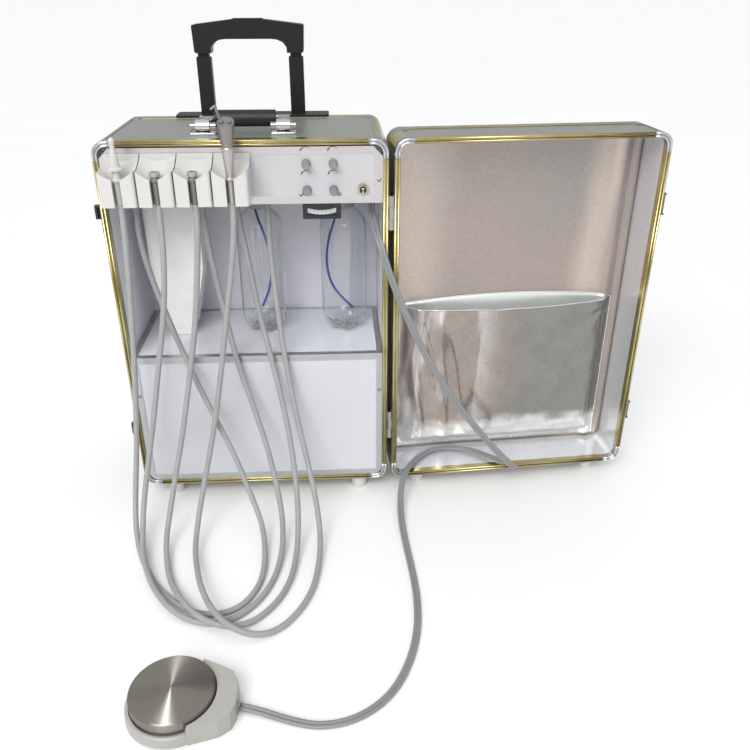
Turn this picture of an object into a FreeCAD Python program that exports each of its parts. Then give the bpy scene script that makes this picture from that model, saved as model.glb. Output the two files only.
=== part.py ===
import FreeCAD, Part
import math
import os
import re
import Sketcher
from FreeCAD import Placement, Rotation, Vector

# Portable dental unit in an aluminium-edged trolley case, opened for use.
# Frame: origin on the floor under the middle of the case, +Z up, the open front faces -Y,
# +X towards the hinged lid. Millimetres.

SIZES = {
    # case and lid shells
    "case_width": 400,
    "case_height": 555,
    "case_depth": 200,
    "foot_height": 25,
    "wall": 7,
    "skin": 1.2,
    "corner_radius": 20,
    "rim_width": 8,
    "rim_depth": 14,
    "corner_leg": 28,
    "band": 18,
    "lid_depth": 86,
    "lid_rim": 10,
    "hinge_gap": 8,
    "lid_angle": 4.6,
    "foot_radius": 14,
    "case_foot_reach": 154,
    "case_foot_inset": 20,
    "lid_foot_margin": 48,
    "lid_foot_inset": 29,
    # hinges and latches
    "hinge_low": 105,
    "hinge_high": 453,
    "hinge_length": 49,
    "knuckle_radius": 3.4,
    "knuckle_length": 15.5,
    "knuckle_play": 0.3,
    "pin_radius": 1.5,
    "pin_play": 0.06,
    "leaf": 1.2,
    "leaf_width": 24,
    "latch_low": 101,
    "latch_high": 453,
    "latch_length": 42,
    "latch_pin": 1.4,
    "latch_pin_out": 5.4,
    "latch_pin_in": 10,
    "lever_ends": 7.4,
    # wheels and pull handle
    "wheel_radius": 25,
    "wheel_width": 18,
    "wheel_reach": 150,
    "wheel_behind": 31,
    "axle_radius": 3,
    "axle_play": 0.05,
    "hub_radius": 8,
    "hub_recess": 3,
    "cheek_inner": 10.4,
    "cheek_outer": 13,
    "bracket_plate": 3,
    "post_reach": 70,
    "post_width": 22,
    "post_depth": 14,
    "post_behind": 10.5,
    "post_top": 665,
    "post_length": 415,
    "tube_wall": 1.6,
    "grip_low": 671,
    "grip_corner": 710,
    "grip_top": 717,
    "grip_half": 82,
    "grip_depth": 26,
    "bezel_half": 118,
    # carry handle
    "bracket_inner": 38,
    "bracket_outer": 73,
    "bracket_y": -50,
    "handle_pivot": 590,
    "handle_arm": 31,
    "handle_radius": 11.5,
    "handle_pin": 2.5,
    "ear_width": 7.5,
    "ear_radius": 5,
    "barrel_inner": 46,
    "barrel_outer": 65,
    "barrel_radius": 8.5,
    "strap_inner": 47.5,
    "strap_outer": 63.5,
    # inner shelf and lower panel
    "shelf_top": 257.5,
    "board": 8,
    "edging": 1.2,
    "edge_face": 9,
    # control panel
    "panel_low": 492,
    "panel_high": 570,
    "plate_low": 503,
    "plate_high": 559,
    "plate_half": 179,
    "sheet_metal": 1.5,
    "knob_radius": 6.3,
    "knob_length": 15,
    "knob_left": 86.5,
    "knob_right": 123.5,
    "knob_row_low": 511.5,
    "knob_row_high": 547.5,
    "stem_radius": 3,
    "toggle_x": 164,
    "toggle_z": 512,
    "gauge_left": 79,
    "gauge_right": 133,
    "gauge_low": 469.5,
    "gauge_high": 500,
    # instrument holders and instruments
    "holder_first": -160.5,
    "holder_pitch": 49.2,
    "holder_width": 47.8,
    "holder_low": 502,
    "holder_high": 563,
    "holder_depth": 47,
    "holder_bore": 6.6,
    "bore_inset": 36,
    "hose_radius": 4.25,
    "instrument_low": 504,
    # bottles
    "bottle_radius": 36.5,
    "bottle_left": 5.5,
    "bottle_right": 136,
    "bottle_y": 13,
    "bottle_skin": 1.2,
    "neck_radius": 15,
    "neck_top": 216,
    "cap_radius": 19,
    # compressor and tank
    "motor_radius": 48,
    "tank_radius": 42,
    # foot control
    "pedal_x": -80,
    "pedal_y": -525,
    "disc_radius": 50.5,
    "disc_low": 20,
    "disc_edge": 32,
    "disc_peak": 38,
    "stem_width": 6,
    "pedal_radius": 57,
    "pedal_rim": 17,
    "shoulder_height": 27,
    "foot_hose_radius": 4.5,
}

# Centre lines of the hoses, each from its instrument (or, for the foot hose, from its valve) to the
# far fitting: they hang in front of the case, lie on the floor and turn back up.
HOSES = {
    "hose_suction": [
        (-160.5, -136, 504), (-160.5, -136, 475), (-163, -140, 418), (-170, -142, 320), (-180, -146, 215),
        (-189, -152, 130), (-196, -175, 60), (-193, -210, 22), (-180, -250, 6), (-160, -290, 4.5),
        (-134, -332, 4.5), (-100, -364, 4.5), (-65, -381, 4.5), (-31, -377, 4.5), (-6, -354, 4.5),
        (9, -310, 4.5), (8, -255, 7), (0, -208, 23), (-20, -177, 62), (-43, -148, 115), (-72, -130, 175),
        (-108, -111, 265), (-136, -92, 345), (-152, -78, 395), (-161, -66, 440), (-161, -62, 475),
        (-161, -62, 500),
    ],
    "hose_handpiece_1": [
        (-111.3, -136, 504), (-111.3, -136, 475), (-113, -140, 425), (-121, -142, 355), (-138, -144, 275),
        (-156, -150, 185), (-171, -162, 115), (-181, -188, 55), (-180, -222, 23), (-172, -262, 14),
        (-157, -305, 14), (-136, -345, 14), (-110, -377, 12), (-80, -393, 6), (-47, -398, 4.5),
        (-16, -384, 4.5), (10, -353, 4.5), (27, -308, 4.5), (34, -255, 7), (32, -203, 27), (22, -165, 65),
        (9, -139, 118), (-9, -122, 180), (-29, -107, 245), (-42, -93, 310), (-54, -80, 375),
        (-63, -68, 430), (-67, -62, 475), (-67, -62, 500),
    ],
    "hose_handpiece_2": [
        (-62.1, -136, 504), (-62.1, -136, 475), (-67, -140, 425), (-78, -142, 340), (-97, -145, 245),
        (-116, -152, 155), (-130, -167, 97), (-140, -195, 45), (-144, -230, 16), (-136, -272, 7),
        (-123, -315, 7), (-103, -354, 13), (-80, -385, 15), (-54, -405, 15), (-26, -410, 11),
        (3, -397, 5), (31, -364, 4.5), (49, -320, 4.5), (56, -263, 8), (57, -208, 34), (53, -170, 78),
        (46, -142, 132), (34, -120, 200), (20, -105, 265), (6, -91, 330), (-4, -77, 395),
        (-12, -67, 440), (-17, -62, 475), (-17, -62, 500),
    ],
    "hose_syringe": [
        (-12.9, -136, 504), (-12.9, -136, 475), (-20, -140, 420), (-33, -142, 350), (-47, -145, 270),
        (-63, -149, 185), (-79, -160, 115), (-94, -185, 52), (-99, -220, 20), (-96, -260, 12),
        (-86, -302, 16), (-74, -345, 23), (-56, -385, 24), (-30, -418, 23), (3, -428, 12),
        (35, -415, 4.5), (62, -383, 4.5), (81, -340, 4.5), (89, -288, 5), (91, -235, 17), (84, -190, 52),
        (72, -157, 100), (59, -133, 155), (48, -115, 220), (39, -101, 285), (33, -87, 350),
        (28, -76, 410), (27, -66, 450), (27, -62, 475), (27, -62, 500),
    ],
    "foot_hose": [
        (177, -62, 500), (177, -62, 480), (179, -76, 462), (184, -97, 446), (191, -113, 424),
        (201, -121, 393), (215, -124, 356), (231, -124, 318), (253, -126, 270), (290, -127, 205),
        (330, -126, 148), (365, -124, 102), (393, -122, 70), (412, -117, 49), (418, -105, 40), (413, -93, 39),
        (399, -83, 40), (379, -65, 39), (352, -42, 38), (315, -30, 37), (283, -36, 37), (259, -57, 37),
        (243, -82, 39), (231, -105, 38), (223, -126, 25), (219, -155, 11), (218, -200, 7),
        (221, -250, 4.5), (225, -305, 4.5), (227, -360, 4.5), (222, -420, 4.5), (206, -475, 4.5),
        (180, -522, 4.5), (140, -553, 4.5), (95, -562, 4.5), (55, -551, 5), (22, -538, 7), (-1, -532, 8),
    ],
}

doc = FreeCAD.newDocument("portable_dental_unit")
sheet = doc.addObject("Spreadsheet::Sheet", "Sizes")
for row, (alias, number) in enumerate(SIZES.items(), 1):
    sheet.set(f"A{row}", alias.replace("_", " "))
    sheet.set(f"B{row}", str(number))
    sheet.setAlias(f"B{row}", alias)
doc.recompute()

nodes = {}


def linked(formula):
    """A formula of sheet aliases, written the way setExpression wants it."""
    return re.sub(r"\b[a-z][a-z_]*\b", r"Sizes.\g<0>", str(formula))


def worth(formula):
    """The number that a formula of sheet aliases comes to."""
    return float(sheet.evalExpression(linked(formula)))


FRONT = "-case_depth / 2"
BACK = "case_depth / 2"
BASE = "foot_height"
TOP = "foot_height + case_height"
LID_LEFT = "case_width / 2 + hinge_gap"
LID_RIGHT = "case_width * 1.5 + hinge_gap"
HINGE_X = "case_width / 2 + hinge_gap / 2"


def bind(item, **formulas):
    for name, formula in formulas.items():
        item.setExpression(name, linked(formula))
    return item


def place(item, x, y, z):
    for axis, formula in zip("xyz", (x, y, z)):
        item.setExpression(f".Placement.Base.{axis}", linked(formula))
    return item


def box(name, x, y, z):
    """A block between the low and high formulas of each axis."""
    item = doc.addObject("Part::Box", name)
    spans = [f"({high}) - ({low})" for low, high in (x, y, z)]
    bind(item, Length=spans[0], Width=spans[1], Height=spans[2])
    return place(item, x[0], y[0], z[0])


TURNS = {
    "X": Rotation(Vector(0, 1, 0), 90), "Y": Rotation(Vector(1, 0, 0), -90), "Z": Rotation(),
    "Y_FRONT": Rotation(Vector(1, 0, 0), 90),
}


def set_on_axis(item, axis, low, across):
    item.Placement = Placement(Vector(), TURNS[axis])
    spot = list(across)
    spot.insert("XYZ".index(axis), low)
    return place(item, *spot)


def cylinder(name, radius, axis, low, high, across):
    """A cylinder along an axis from low to high; across is its place on the other two axes."""
    item = doc.addObject("Part::Cylinder", name)
    bind(item, Radius=radius, Height=f"({high}) - ({low})")
    return set_on_axis(item, axis, low, across)


def cone(name, low_radius, high_radius, axis, low, high, across):
    item = doc.addObject("Part::Cone", name)
    bind(item, Radius1=low_radius, Radius2=high_radius, Height=f"({high}) - ({low})")
    return set_on_axis(item, axis, low, across)


def fuse(name, *pieces):
    item = doc.addObject("Part::MultiFuse", name)
    item.Shapes = list(pieces)
    return item


def group(name, *pieces):
    """Separate solids that share one node."""
    item = doc.addObject("Part::Compound", name)
    item.Links = list(pieces)
    return item


def cut(name, base, *tools):
    item = doc.addObject("Part::Cut", name)
    item.Base = base
    item.Tool = tools[0] if len(tools) == 1 else group(f"{name}_tools", *tools)
    return item


def common(name, base, tool):
    item = doc.addObject("Part::Common", name)
    item.Base = base
    item.Tool = tool
    return item


def straight_edges(shape, axis):
    """Numbers of the straight edges that lie along an axis."""
    direction = {"X": Vector(1, 0, 0), "Y": Vector(0, 1, 0), "Z": Vector(0, 0, 1)}[axis]
    found = []
    for number, edge in enumerate(shape.Edges, 1):
        ends = [vertex.Point for vertex in edge.Vertexes]
        if len(ends) == 2 and abs((ends[1] - ends[0]).normalize().dot(direction)) > 0.9999:
            found.append(number)
    return found


def rounded(name, base, axis, radius, chosen=None):
    """Rounds the straight edges along an axis; chosen picks some of them by their middle."""
    doc.recompute()
    item = doc.addObject("Part::Fillet", name)
    item.Base = base
    size = worth(radius)
    numbers = straight_edges(base.Shape, axis)
    if chosen:
        numbers = [n for n in numbers if chosen(base.Shape.Edges[n - 1].CenterOfMass)]
    item.Edges = [(number, size, size) for number in numbers]
    return item


def origin_plane(body, role):
    return next(item for item in body.Origin.OriginFeatures if item.Role == role)


def outline(body, role, points):
    """A closed sketch; each corner is held by two dimensions bound to the sheet."""
    sketch = body.newObject("Sketcher::SketchObject", f"{body.Name}_outline")
    sketch.AttachmentSupport = [(origin_plane(body, role), "")]
    sketch.MapMode = "FlatFace"
    spots = [Vector(worth(a), worth(b), 0) for a, b in points]
    for start, end in zip(spots, spots[1:] + spots[:1]):
        sketch.addGeometry(Part.LineSegment(start, end), False)
    for number in range(len(spots)):
        after = (number + 1) % len(spots)
        sketch.addConstraint(Sketcher.Constraint("Coincident", number, 2, after, 1))
    for number, (formulas, spot) in enumerate(zip(points, spots)):
        for kind, formula, value in zip(("DistanceX", "DistanceY"), formulas, spot):
            index = sketch.addConstraint(Sketcher.Constraint(kind, -1, 1, number, 1, value))
            sketch.renameConstraint(index, f"{kind[-1].lower()}{number}")
            sketch.setExpression(f"Constraints.{kind[-1].lower()}{number}", linked(formula))
    return sketch


def turned(name, points, x, y, z, axis="Z"):
    """A body of revolution from (radius, height) corners, standing at a place along an axis."""
    body = doc.addObject("PartDesign::Body", name)
    sketch = outline(body, "XZ_Plane", points)
    spin = body.newObject("PartDesign::Revolution", f"{name}_spin")
    spin.Profile = sketch
    spin.ReferenceAxis = (sketch, ["V_Axis"])
    spin.Angle = 360
    body.Placement = Placement(Vector(), TURNS[axis])
    return place(body, x, y, z)


def padded(name, role, points, low, high):
    """A body padded from an outline: XZ outlines run along Y, YZ ones along X, XY ones along Z."""
    body = doc.addObject("PartDesign::Body", name)
    sketch = outline(body, role, points)
    pad = body.newObject("PartDesign::Pad", f"{name}_pad")
    pad.Profile = sketch
    pad.Reversed = role == "XZ_Plane"
    pad.setExpression("Length", linked(f"({high}) - ({low})"))
    spot = {"XZ_Plane": (0, low, 0), "YZ_Plane": (low, 0, 0), "XY_Plane": (0, 0, low)}[role]
    return place(body, *spot)


def node(label, item):
    item.Label = label
    nodes[label] = item
    return item


def span(centre, width):
    return f"{centre} - ({width}) / 2", f"{centre} + ({width}) / 2"


# ---------------------------------------------------------------- case and lid shells

def rounded_block(name, left, right, front, back, inset, radius):
    """A block with its four front-to-back edges rounded, set in from the case's outside."""
    block = box(
        f"{name}_block",
        (f"{left} + {inset}", f"{right} - {inset}"),
        (front, back),
        (f"{BASE} + {inset}", f"{TOP} - {inset}"),
    )
    return rounded(name, block, "Y", radius)


def corner_blocks(name, left, right, front, back, leg):
    blocks = []
    for x in ((left, f"{left} + {leg}"), (f"{right} - {leg}", right)):
        for z in ((BASE, f"{BASE} + {leg}"), (f"{TOP} - {leg}", TOP)):
            blocks.append(box(f"{name}_{len(blocks)}", x, (front, back), z))
    return blocks


def open_shell(name, left, right, rim_depth, back):
    """Four walls and a back, open towards the front."""
    outer = rounded_block(
        f"{name}_outer", left, right, f"{FRONT} + {rim_depth}", back, "skin", "corner_radius - skin"
    )
    inner = rounded_block(
        f"{name}_inner", left, right, FRONT, f"{back} - wall", "wall", "corner_radius - wall"
    )
    return cut(f"{name}_body", outer, inner)


def edge_work(name, left, right, rim_depth, back):
    """Gold extrusions and chrome corners of one shell: front rim, long edges and rear edges."""
    rear = f"{back} + skin"
    ring = cut(
        f"{name}_ring",
        rounded_block(f"{name}_ring_out", left, right, FRONT, f"{FRONT} + {rim_depth}", "0", "corner_radius"),
        rounded_block(
            f"{name}_ring_in", left, right, FRONT, f"{FRONT} + {rim_depth}", "rim_width",
            "corner_radius - rim_width",
        ),
    )
    groove = cut(
        f"{name}_groove",
        rounded_block(f"{name}_groove_out", left, right, FRONT, f"{FRONT} + 2", "3.2", "corner_radius - 3.2"),
        rounded_block(f"{name}_groove_in", left, right, FRONT, f"{FRONT} + 2", "4.8", "corner_radius - 4.8"),
    )
    front_zone = corner_blocks(f"{name}_fz", left, right, FRONT, f"{FRONT} + {rim_depth}", "corner_leg")
    bars = cut(f"{name}_bars", cut(f"{name}_ring_grooved", ring, groove), *front_zone)
    front_corners = common(f"{name}_front_corners", ring, group(f"{name}_front_zone", *front_zone))

    sleeve = cut(
        f"{name}_sleeve",
        rounded_block(f"{name}_sl_out", left, right, f"{FRONT} + {rim_depth}", rear, "0", "corner_radius"),
        rounded_block(
            f"{name}_sl_in", left, right, f"{FRONT} + {rim_depth}", back, "skin", "corner_radius - skin"
        ),
    )
    columns = corner_blocks(f"{name}_col", left, right, f"{FRONT} + {rim_depth}", f"{rear} - band", "band")
    window = box(
        f"{name}_window", (f"{left} + band", f"{right} - band"), (f"{rear} - band", f"{rear} + 1"),
        (f"{BASE} + band", f"{TOP} - band"),
    )
    rear_block = box(f"{name}_rear_block", (left, right), (f"{rear} - band", rear), (BASE, TOP))
    kept = fuse(f"{name}_kept", cut(f"{name}_rear_band", rear_block, window), *columns)
    strips = common(f"{name}_strips", sleeve, kept)
    rear_zone = corner_blocks(f"{name}_rz", left, right, f"{rear} - corner_leg", rear, "corner_leg")
    gold_edges = cut(f"{name}_gold_edges", strips, *rear_zone)
    rear_corners = common(f"{name}_rear_corners", sleeve, group(f"{name}_rear_zone", *rear_zone))
    return group(f"{name}_gold", bars, gold_edges), group(f"{name}_chrome", front_corners, rear_corners)


def rubber_foot(name, x, y):
    """A tapered rubber foot with a raised boss that meets the panel above it."""
    return turned(
        name,
        [(0, 0), ("foot_radius - 3", 0), ("foot_radius - 2", 2), ("foot_radius", "foot_height"),
         (5, "foot_height"), (5, "foot_height + skin"), (0, "foot_height + skin")],
        x, y, 0,
    )


def to_lid(item):
    """Turns a piece made at the lid's straight-open place to the angle where it rests."""
    hinge = Vector(worth(HINGE_X), worth(FRONT), 0)
    swing = Placement(Vector(), Rotation(Vector(0, 0, 1), worth("lid_angle")), hinge)
    item.Placement = swing.multiply(item.Placement)
    return item


CASE_SIDES = ("-case_width / 2", "case_width / 2")
LID_SIDES = (LID_LEFT, LID_RIGHT)
LID_BACK = f"{FRONT} + lid_depth"

node("case_shell", open_shell("case", *CASE_SIDES, "rim_depth", BACK))
case_gold, case_chrome = edge_work("case_edge", *CASE_SIDES, "rim_depth", BACK)
node("case_extrusions", case_gold)
node("case_corners", case_chrome)
node(
    "case_feet",
    group("feet", *[
        rubber_foot(f"case_foot_{side}", f"{sign} * case_foot_reach", f"{FRONT} + case_foot_inset")
        for side, sign in (("left", -1), ("right", 1))
    ]),
)

lid_gold, lid_chrome = edge_work("lid_edge", *LID_SIDES, "lid_rim", LID_BACK)
node("lid_shell", to_lid(open_shell("lid", *LID_SIDES, "lid_rim", LID_BACK)))
node("lid_extrusions", to_lid(lid_gold))
node("lid_corners", to_lid(lid_chrome))
node(
    "lid_feet",
    to_lid(group("lid_feet_pair", *[
        rubber_foot(f"lid_foot_{side}", x, f"{FRONT} + lid_foot_inset")
        for side, x in (("left", f"{LID_LEFT} + lid_foot_margin"), ("right", f"{LID_RIGHT} - lid_foot_margin"))
    ])),
)

LID_FLOOR = f"{BASE} + wall"
LINING_FRONT = f"{LID_BACK} - wall - 1.5"
lining = box(
    "lining_sheet", (f"{LID_LEFT} + wall + 1", f"{LID_RIGHT} - wall - 1"), (LINING_FRONT, f"{LID_BACK} - wall"),
    (f"{LID_FLOOR} + 1", f"{TOP} - wall - 1"),
)
node("lid_lining", to_lid(group("lining", rounded("lining_round", lining, "Y", "corner_radius - wall - 1"))))

POCKET_X = (f"{LID_LEFT} + 24", f"{LID_RIGHT} - 30")
POCKET_Z = (f"{LID_FLOOR} + 16", f"{LID_FLOOR} + 276")
pocket_outer = box("pocket_outer", POCKET_X, (f"{LINING_FRONT} - 26", LINING_FRONT), POCKET_Z)
pocket_space = box(
    "pocket_space", (f"{POCKET_X[0]} + 3", f"{POCKET_X[1]} - 3"),
    (f"{LINING_FRONT} - 23", f"{LINING_FRONT} - 2"),
    (f"{POCKET_Z[0]} + 6", f"{POCKET_Z[1]} + 1"),
)
node("lid_pocket", to_lid(cut("pocket", rounded("pocket_round", pocket_outer, "X", 6,
     lambda middle: middle.y < worth(LINING_FRONT) - 20 and middle.z < 100), pocket_space)))

# ---------------------------------------------------------------- hinges and latches

KNUCKLE_CUT = "knuckle_radius + 1.1"


def hinge_half(name, low, leaf_x, knuckles, solid_pin):
    """A leaf on the shell's side with its knuckles; the case half holds the pin."""
    high = f"{low} + hinge_length"
    pieces = [box(f"{name}_leaf", leaf_x, (f"{FRONT} + {KNUCKLE_CUT}", f"{FRONT} + leaf_width"), (low, high))]
    for number, (start, end) in enumerate(knuckles):
        z = (f"{low} + {start}", f"{low} + {end}")
        pieces.append(box(f"{name}_tab_{number}", leaf_x, (FRONT, f"{FRONT} + {KNUCKLE_CUT}"), z))
        pieces.append(cylinder(f"{name}_knuckle_{number}", "knuckle_radius", "Z", *z, (HINGE_X, FRONT)))
    if solid_pin:
        pieces.append(cylinder(f"{name}_pin", "pin_radius", "Z", low, high, (HINGE_X, FRONT)))
        return fuse(name, *pieces)
    bore = cylinder(f"{name}_bore", "pin_radius + pin_play", "Z", low, high, (HINGE_X, FRONT))
    return cut(name, fuse(f"{name}_solid", *pieces), bore)


case_leaf = (CASE_SIDES[1], f"{CASE_SIDES[1]} + leaf")
lid_leaf = (f"{LID_LEFT} - leaf", LID_LEFT)
outer_knuckles = [("0", "knuckle_length"), ("hinge_length - knuckle_length", "hinge_length")]
middle_knuckle = [("knuckle_length + knuckle_play", "hinge_length - knuckle_length - knuckle_play")]
HINGES = ("hinge_low", "hinge_high")
node("case_hinge_leaves", group("case_leaves", *[
    hinge_half(f"case_{low}", low, case_leaf, outer_knuckles, True) for low in HINGES
]))
node("lid_hinge_leaves", to_lid(group("lid_leaves", *[
    hinge_half(f"lid_{low}", low, lid_leaf, middle_knuckle, False) for low in HINGES
])))


LATCH_PIN_AT = (f"{LID_RIGHT} + latch_pin_out", f"{FRONT} + latch_pin_in")


def latch_base(name, low):
    """Base plate on the lid's free side with two ears for the lever's pin."""
    high = f"{low} + latch_length"
    plate = box(
        f"{name}_plate", (LID_RIGHT, f"{LID_RIGHT} + 1.4"), (f"{FRONT} + 3", f"{FRONT} + 26"), (low, high)
    )
    ears = [
        box(f"{name}_ear_{end}", (LID_RIGHT, f"{LID_RIGHT} + 8"), (f"{FRONT} + 6", f"{FRONT} + 14"), z)
        for end, z in (("low", (f"{low} + 5", f"{low} + 7")), ("high", (f"{high} - 7", f"{high} - 5")))
    ]
    pin = cylinder(f"{name}_pin", "latch_pin", "Z", f"{low} + 5", f"{high} - 5", LATCH_PIN_AT)
    return fuse(name, plate, *ears, pin)


def latch_lever(name, low):
    """Lever that folds flat on the side; its raised lip is the finger hold."""
    z = (f"{low} + lever_ends", f"{low} + latch_length - lever_ends")
    hub = cylinder(f"{name}_hub", "latch_pin + 1.1", "Z", *z, LATCH_PIN_AT)
    inner, outer = f"{LID_RIGHT} + 5.2", f"{LID_RIGHT} + 9.6"
    lift = f"{FRONT} + 22"
    arm = box(f"{name}_arm", (inner, f"{inner} + 2.4"), (LATCH_PIN_AT[1], f"{lift} + 6"), z)
    lip = box(f"{name}_lip", (f"{outer} - 1.6", outer), (lift, f"{lift} + 9"), z)
    step = box(f"{name}_step", (inner, outer), (lift, f"{lift} + 6"), z)
    bore = cylinder(f"{name}_bore", "latch_pin + pin_play", "Z", *z, LATCH_PIN_AT)
    return cut(name, fuse(f"{name}_solid", hub, arm, step, lip), bore)


def latch_keeper(name, low):
    """Black keeper on the case's free side that the lever closes onto."""
    left = CASE_SIDES[0]
    high = f"{low} + latch_length"
    plate = box(f"{name}_plate", (f"{left} - 1.5", left), (f"{FRONT} + 3", f"{FRONT} + 21"), (low, high))
    hook = box(
        f"{name}_hook", (f"{left} - 9", left), (f"{FRONT} + 4", f"{FRONT} + 12"), (f"{low} + 20", f"{high} - 3")
    )
    notch = box(
        f"{name}_notch", (f"{left} - 6", f"{left} - 2.5"), (f"{FRONT} + 4", f"{FRONT} + 9"),
        (f"{low} + 22", f"{high} - 5"),
    )
    return cut(name, fuse(f"{name}_solid", plate, hook), notch)


LATCHES = ("latch_low", "latch_high")
node("latch_keepers", group("keepers", *[latch_keeper(f"keeper_{low}", low) for low in LATCHES]))
node("lid_latch_bases", to_lid(group("latch_bases", *[latch_base(f"base_{low}", low) for low in LATCHES])))
node("latch_lever_lower", to_lid(latch_lever("lever_lower", "latch_low")))
node("latch_lever_upper", to_lid(latch_lever("lever_upper", "latch_high")))

# ---------------------------------------------------------------- wheels

REAR_SKIN = f"{BACK} + skin"
WHEEL_Y = f"{BACK} + wheel_behind"


def wheel(name, x):
    """A rubber-tyred wheel with a recessed hub, bored for the axle of its bracket."""
    half = "wheel_width / 2"
    side = [
        ("wheel_radius", 2), ("wheel_radius - 2", 0), ("wheel_radius - 7", 0),
        ("wheel_radius - 8", "hub_recess"), ("hub_radius + 1", "hub_recess"), ("hub_radius", 0),
        ("axle_radius + axle_play", 0),
    ]
    near = [(radius, f"{depth} - {half}") for radius, depth in side[::-1]]
    far = [(radius, f"{half} - {depth}") for radius, depth in side]
    return turned(name, near + far, x, WHEEL_Y, "wheel_radius", "X")


def wheel_bracket(name, x):
    plate = box(
        f"{name}_plate", span(x, "40"), (REAR_SKIN, f"{REAR_SKIN} + bracket_plate"), (BASE, f"{BASE} + 50")
    )
    cheek_sides = (f"{x} - cheek_outer", f"{x} - cheek_inner"), (f"{x} + cheek_inner", f"{x} + cheek_outer")
    cheeks = [
        box(f"{name}_cheek_{number}", sides, (REAR_SKIN, f"{WHEEL_Y} + hub_radius"),
            ("wheel_radius - 8", f"{BASE} + 40"))
        for number, sides in enumerate(cheek_sides)
    ]
    axle = cylinder(f"{name}_axle", "axle_radius", "X", f"{x} - cheek_outer - 1", f"{x} + cheek_outer + 1",
                    (WHEEL_Y, "wheel_radius"))
    return fuse(name, plate, *cheeks, axle)


WHEEL_SIDES = {"left": "-wheel_reach", "right": "wheel_reach"}
node("wheel_brackets", group("brackets", *[
    wheel_bracket(f"bracket_{side}", x) for side, x in WHEEL_SIDES.items()
]))
for side, x in WHEEL_SIDES.items():
    node(f"wheel_{side}", wheel(f"roller_{side}", x))

# ---------------------------------------------------------------- telescopic trolley handle

POST_Y = f"{BACK} + post_behind"
POST_SIDES = ("-post_reach", "post_reach")
POST_LOW = "post_top - post_length"


def posts(name, width, depth, low, high):
    return [
        box(f"{name}_{number}", span(x, width), span(POST_Y, depth), (low, high))
        for number, x in enumerate(POST_SIDES)
    ]


SLEEVE_DEPTH = "post_depth + 4.6"
bezel = rounded(
    "bezel", box("bezel_plate", ("-bezel_half", "bezel_half"), (f"{POST_Y} - 29", f"{POST_Y} + 10"),
                 (TOP, f"{TOP} + 3.5")),
    "Z", 6,
)
SLEEVE_LOW = "60"
foot_block = box(
    "foot_block", ("-post_reach - 20", "post_reach + 20"), (BACK, f"{POST_Y} + 10.5"),
    (f"{SLEEVE_LOW} - 10", SLEEVE_LOW),
)
housing = fuse(
    "housing_solid", bezel, foot_block, *posts("sleeve", "post_width + 4", SLEEVE_DEPTH, SLEEVE_LOW, TOP)
)
node("trolley_housing", cut(
    "housing", housing,
    *posts("sleeve_hole", "post_width + 0.6", "post_depth + 0.6", SLEEVE_LOW, f"{TOP} + 5"),
))
node("trolley_tubes", cut(
    "middle_tubes", group("middle_solid", *posts("middle", "post_width", "post_depth", POST_LOW, "post_top")),
    *posts("middle_bore", "post_width - 2 * tube_wall", "post_depth - 2 * tube_wall", POST_LOW, "post_top"),
))

GRIP_Y = span(POST_Y, "grip_depth")
GRIP_HALF_OUTLINE = [
    (25, "grip_top"), ("grip_half + 1.5", "grip_corner"), ("grip_half", "grip_low"), (57, "grip_low"),
    (56.5, 679), (51, 686), (43, 689.5), (33, 690.5),
]
grip_outline = GRIP_HALF_OUTLINE + [(f"-({x})", z) for x, z in reversed(GRIP_HALF_OUTLINE)]
grip_body = rounded(
    "grip_rounded", padded("grip_body", "XZ_Plane", grip_outline, *GRIP_Y), "Y", 3,
    lambda middle: abs(middle.x) > worth("grip_half") - 1,
)
button_well = box(
    "button_well", span("0", "46.6"), span(POST_Y, "post_depth + 0.6"), ("grip_top - 12.5", "grip_top + 1")
)
screw_pits = [
    cylinder(f"screw_pit_{number}", 2.4, "Y", GRIP_Y[0], f"{GRIP_Y[0]} + 0.8", (x, "grip_low + 5"))
    for number, x in enumerate((-74, 74))
]
node("trolley_grip", fuse(
    "grip", cut("grip_hollowed", grip_body, button_well, *screw_pits),
    *posts("inner", "post_width - 5", "post_depth - 4", "300", "grip_low + 4"),
))
button = box("button_block", span("0", "46"), span(POST_Y, "post_depth"), ("grip_top - 9", "grip_top + 1.5"))
node("trolley_button", rounded("button", button, "Y", 1.5))

# ---------------------------------------------------------------- carry handle

LID_TOP = f"{TOP} - skin"
PIVOT = ("bracket_y", "handle_pivot")
GRIP_LINE = ("bracket_y + handle_arm", "handle_pivot + 5")


def carry_bracket(name, sign):
    """Chrome plate on the case top with two ears and the pin of the handle."""
    def across(low, high):
        return (f"{low}", f"{high}") if sign > 0 else (f"-({high})", f"-({low})")

    whole = across("bracket_inner", "bracket_outer")
    plate = box(f"{name}_plate", whole, ("bracket_y - 13", "bracket_y + 14"), (LID_TOP, f"{LID_TOP} + 2"))
    pieces = [plate]
    for number, ends in enumerate((("bracket_inner", "bracket_inner + ear_width"),
                                   ("bracket_outer - ear_width", "bracket_outer"))):
        pieces.append(box(f"{name}_ear_{number}", across(*ends), span("bracket_y", "2 * ear_radius"),
                          (LID_TOP, "handle_pivot")))
        pieces.append(cylinder(f"{name}_eye_{number}", "ear_radius", "X", *across(*ends), PIVOT))
    pieces.append(cylinder(f"{name}_pin", "handle_pin", "X", *whole, PIVOT))
    return fuse(name, *pieces)


node("handle_brackets", group(
    "carry_brackets", carry_bracket("carry_left", -1), carry_bracket("carry_right", 1)
))

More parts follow.
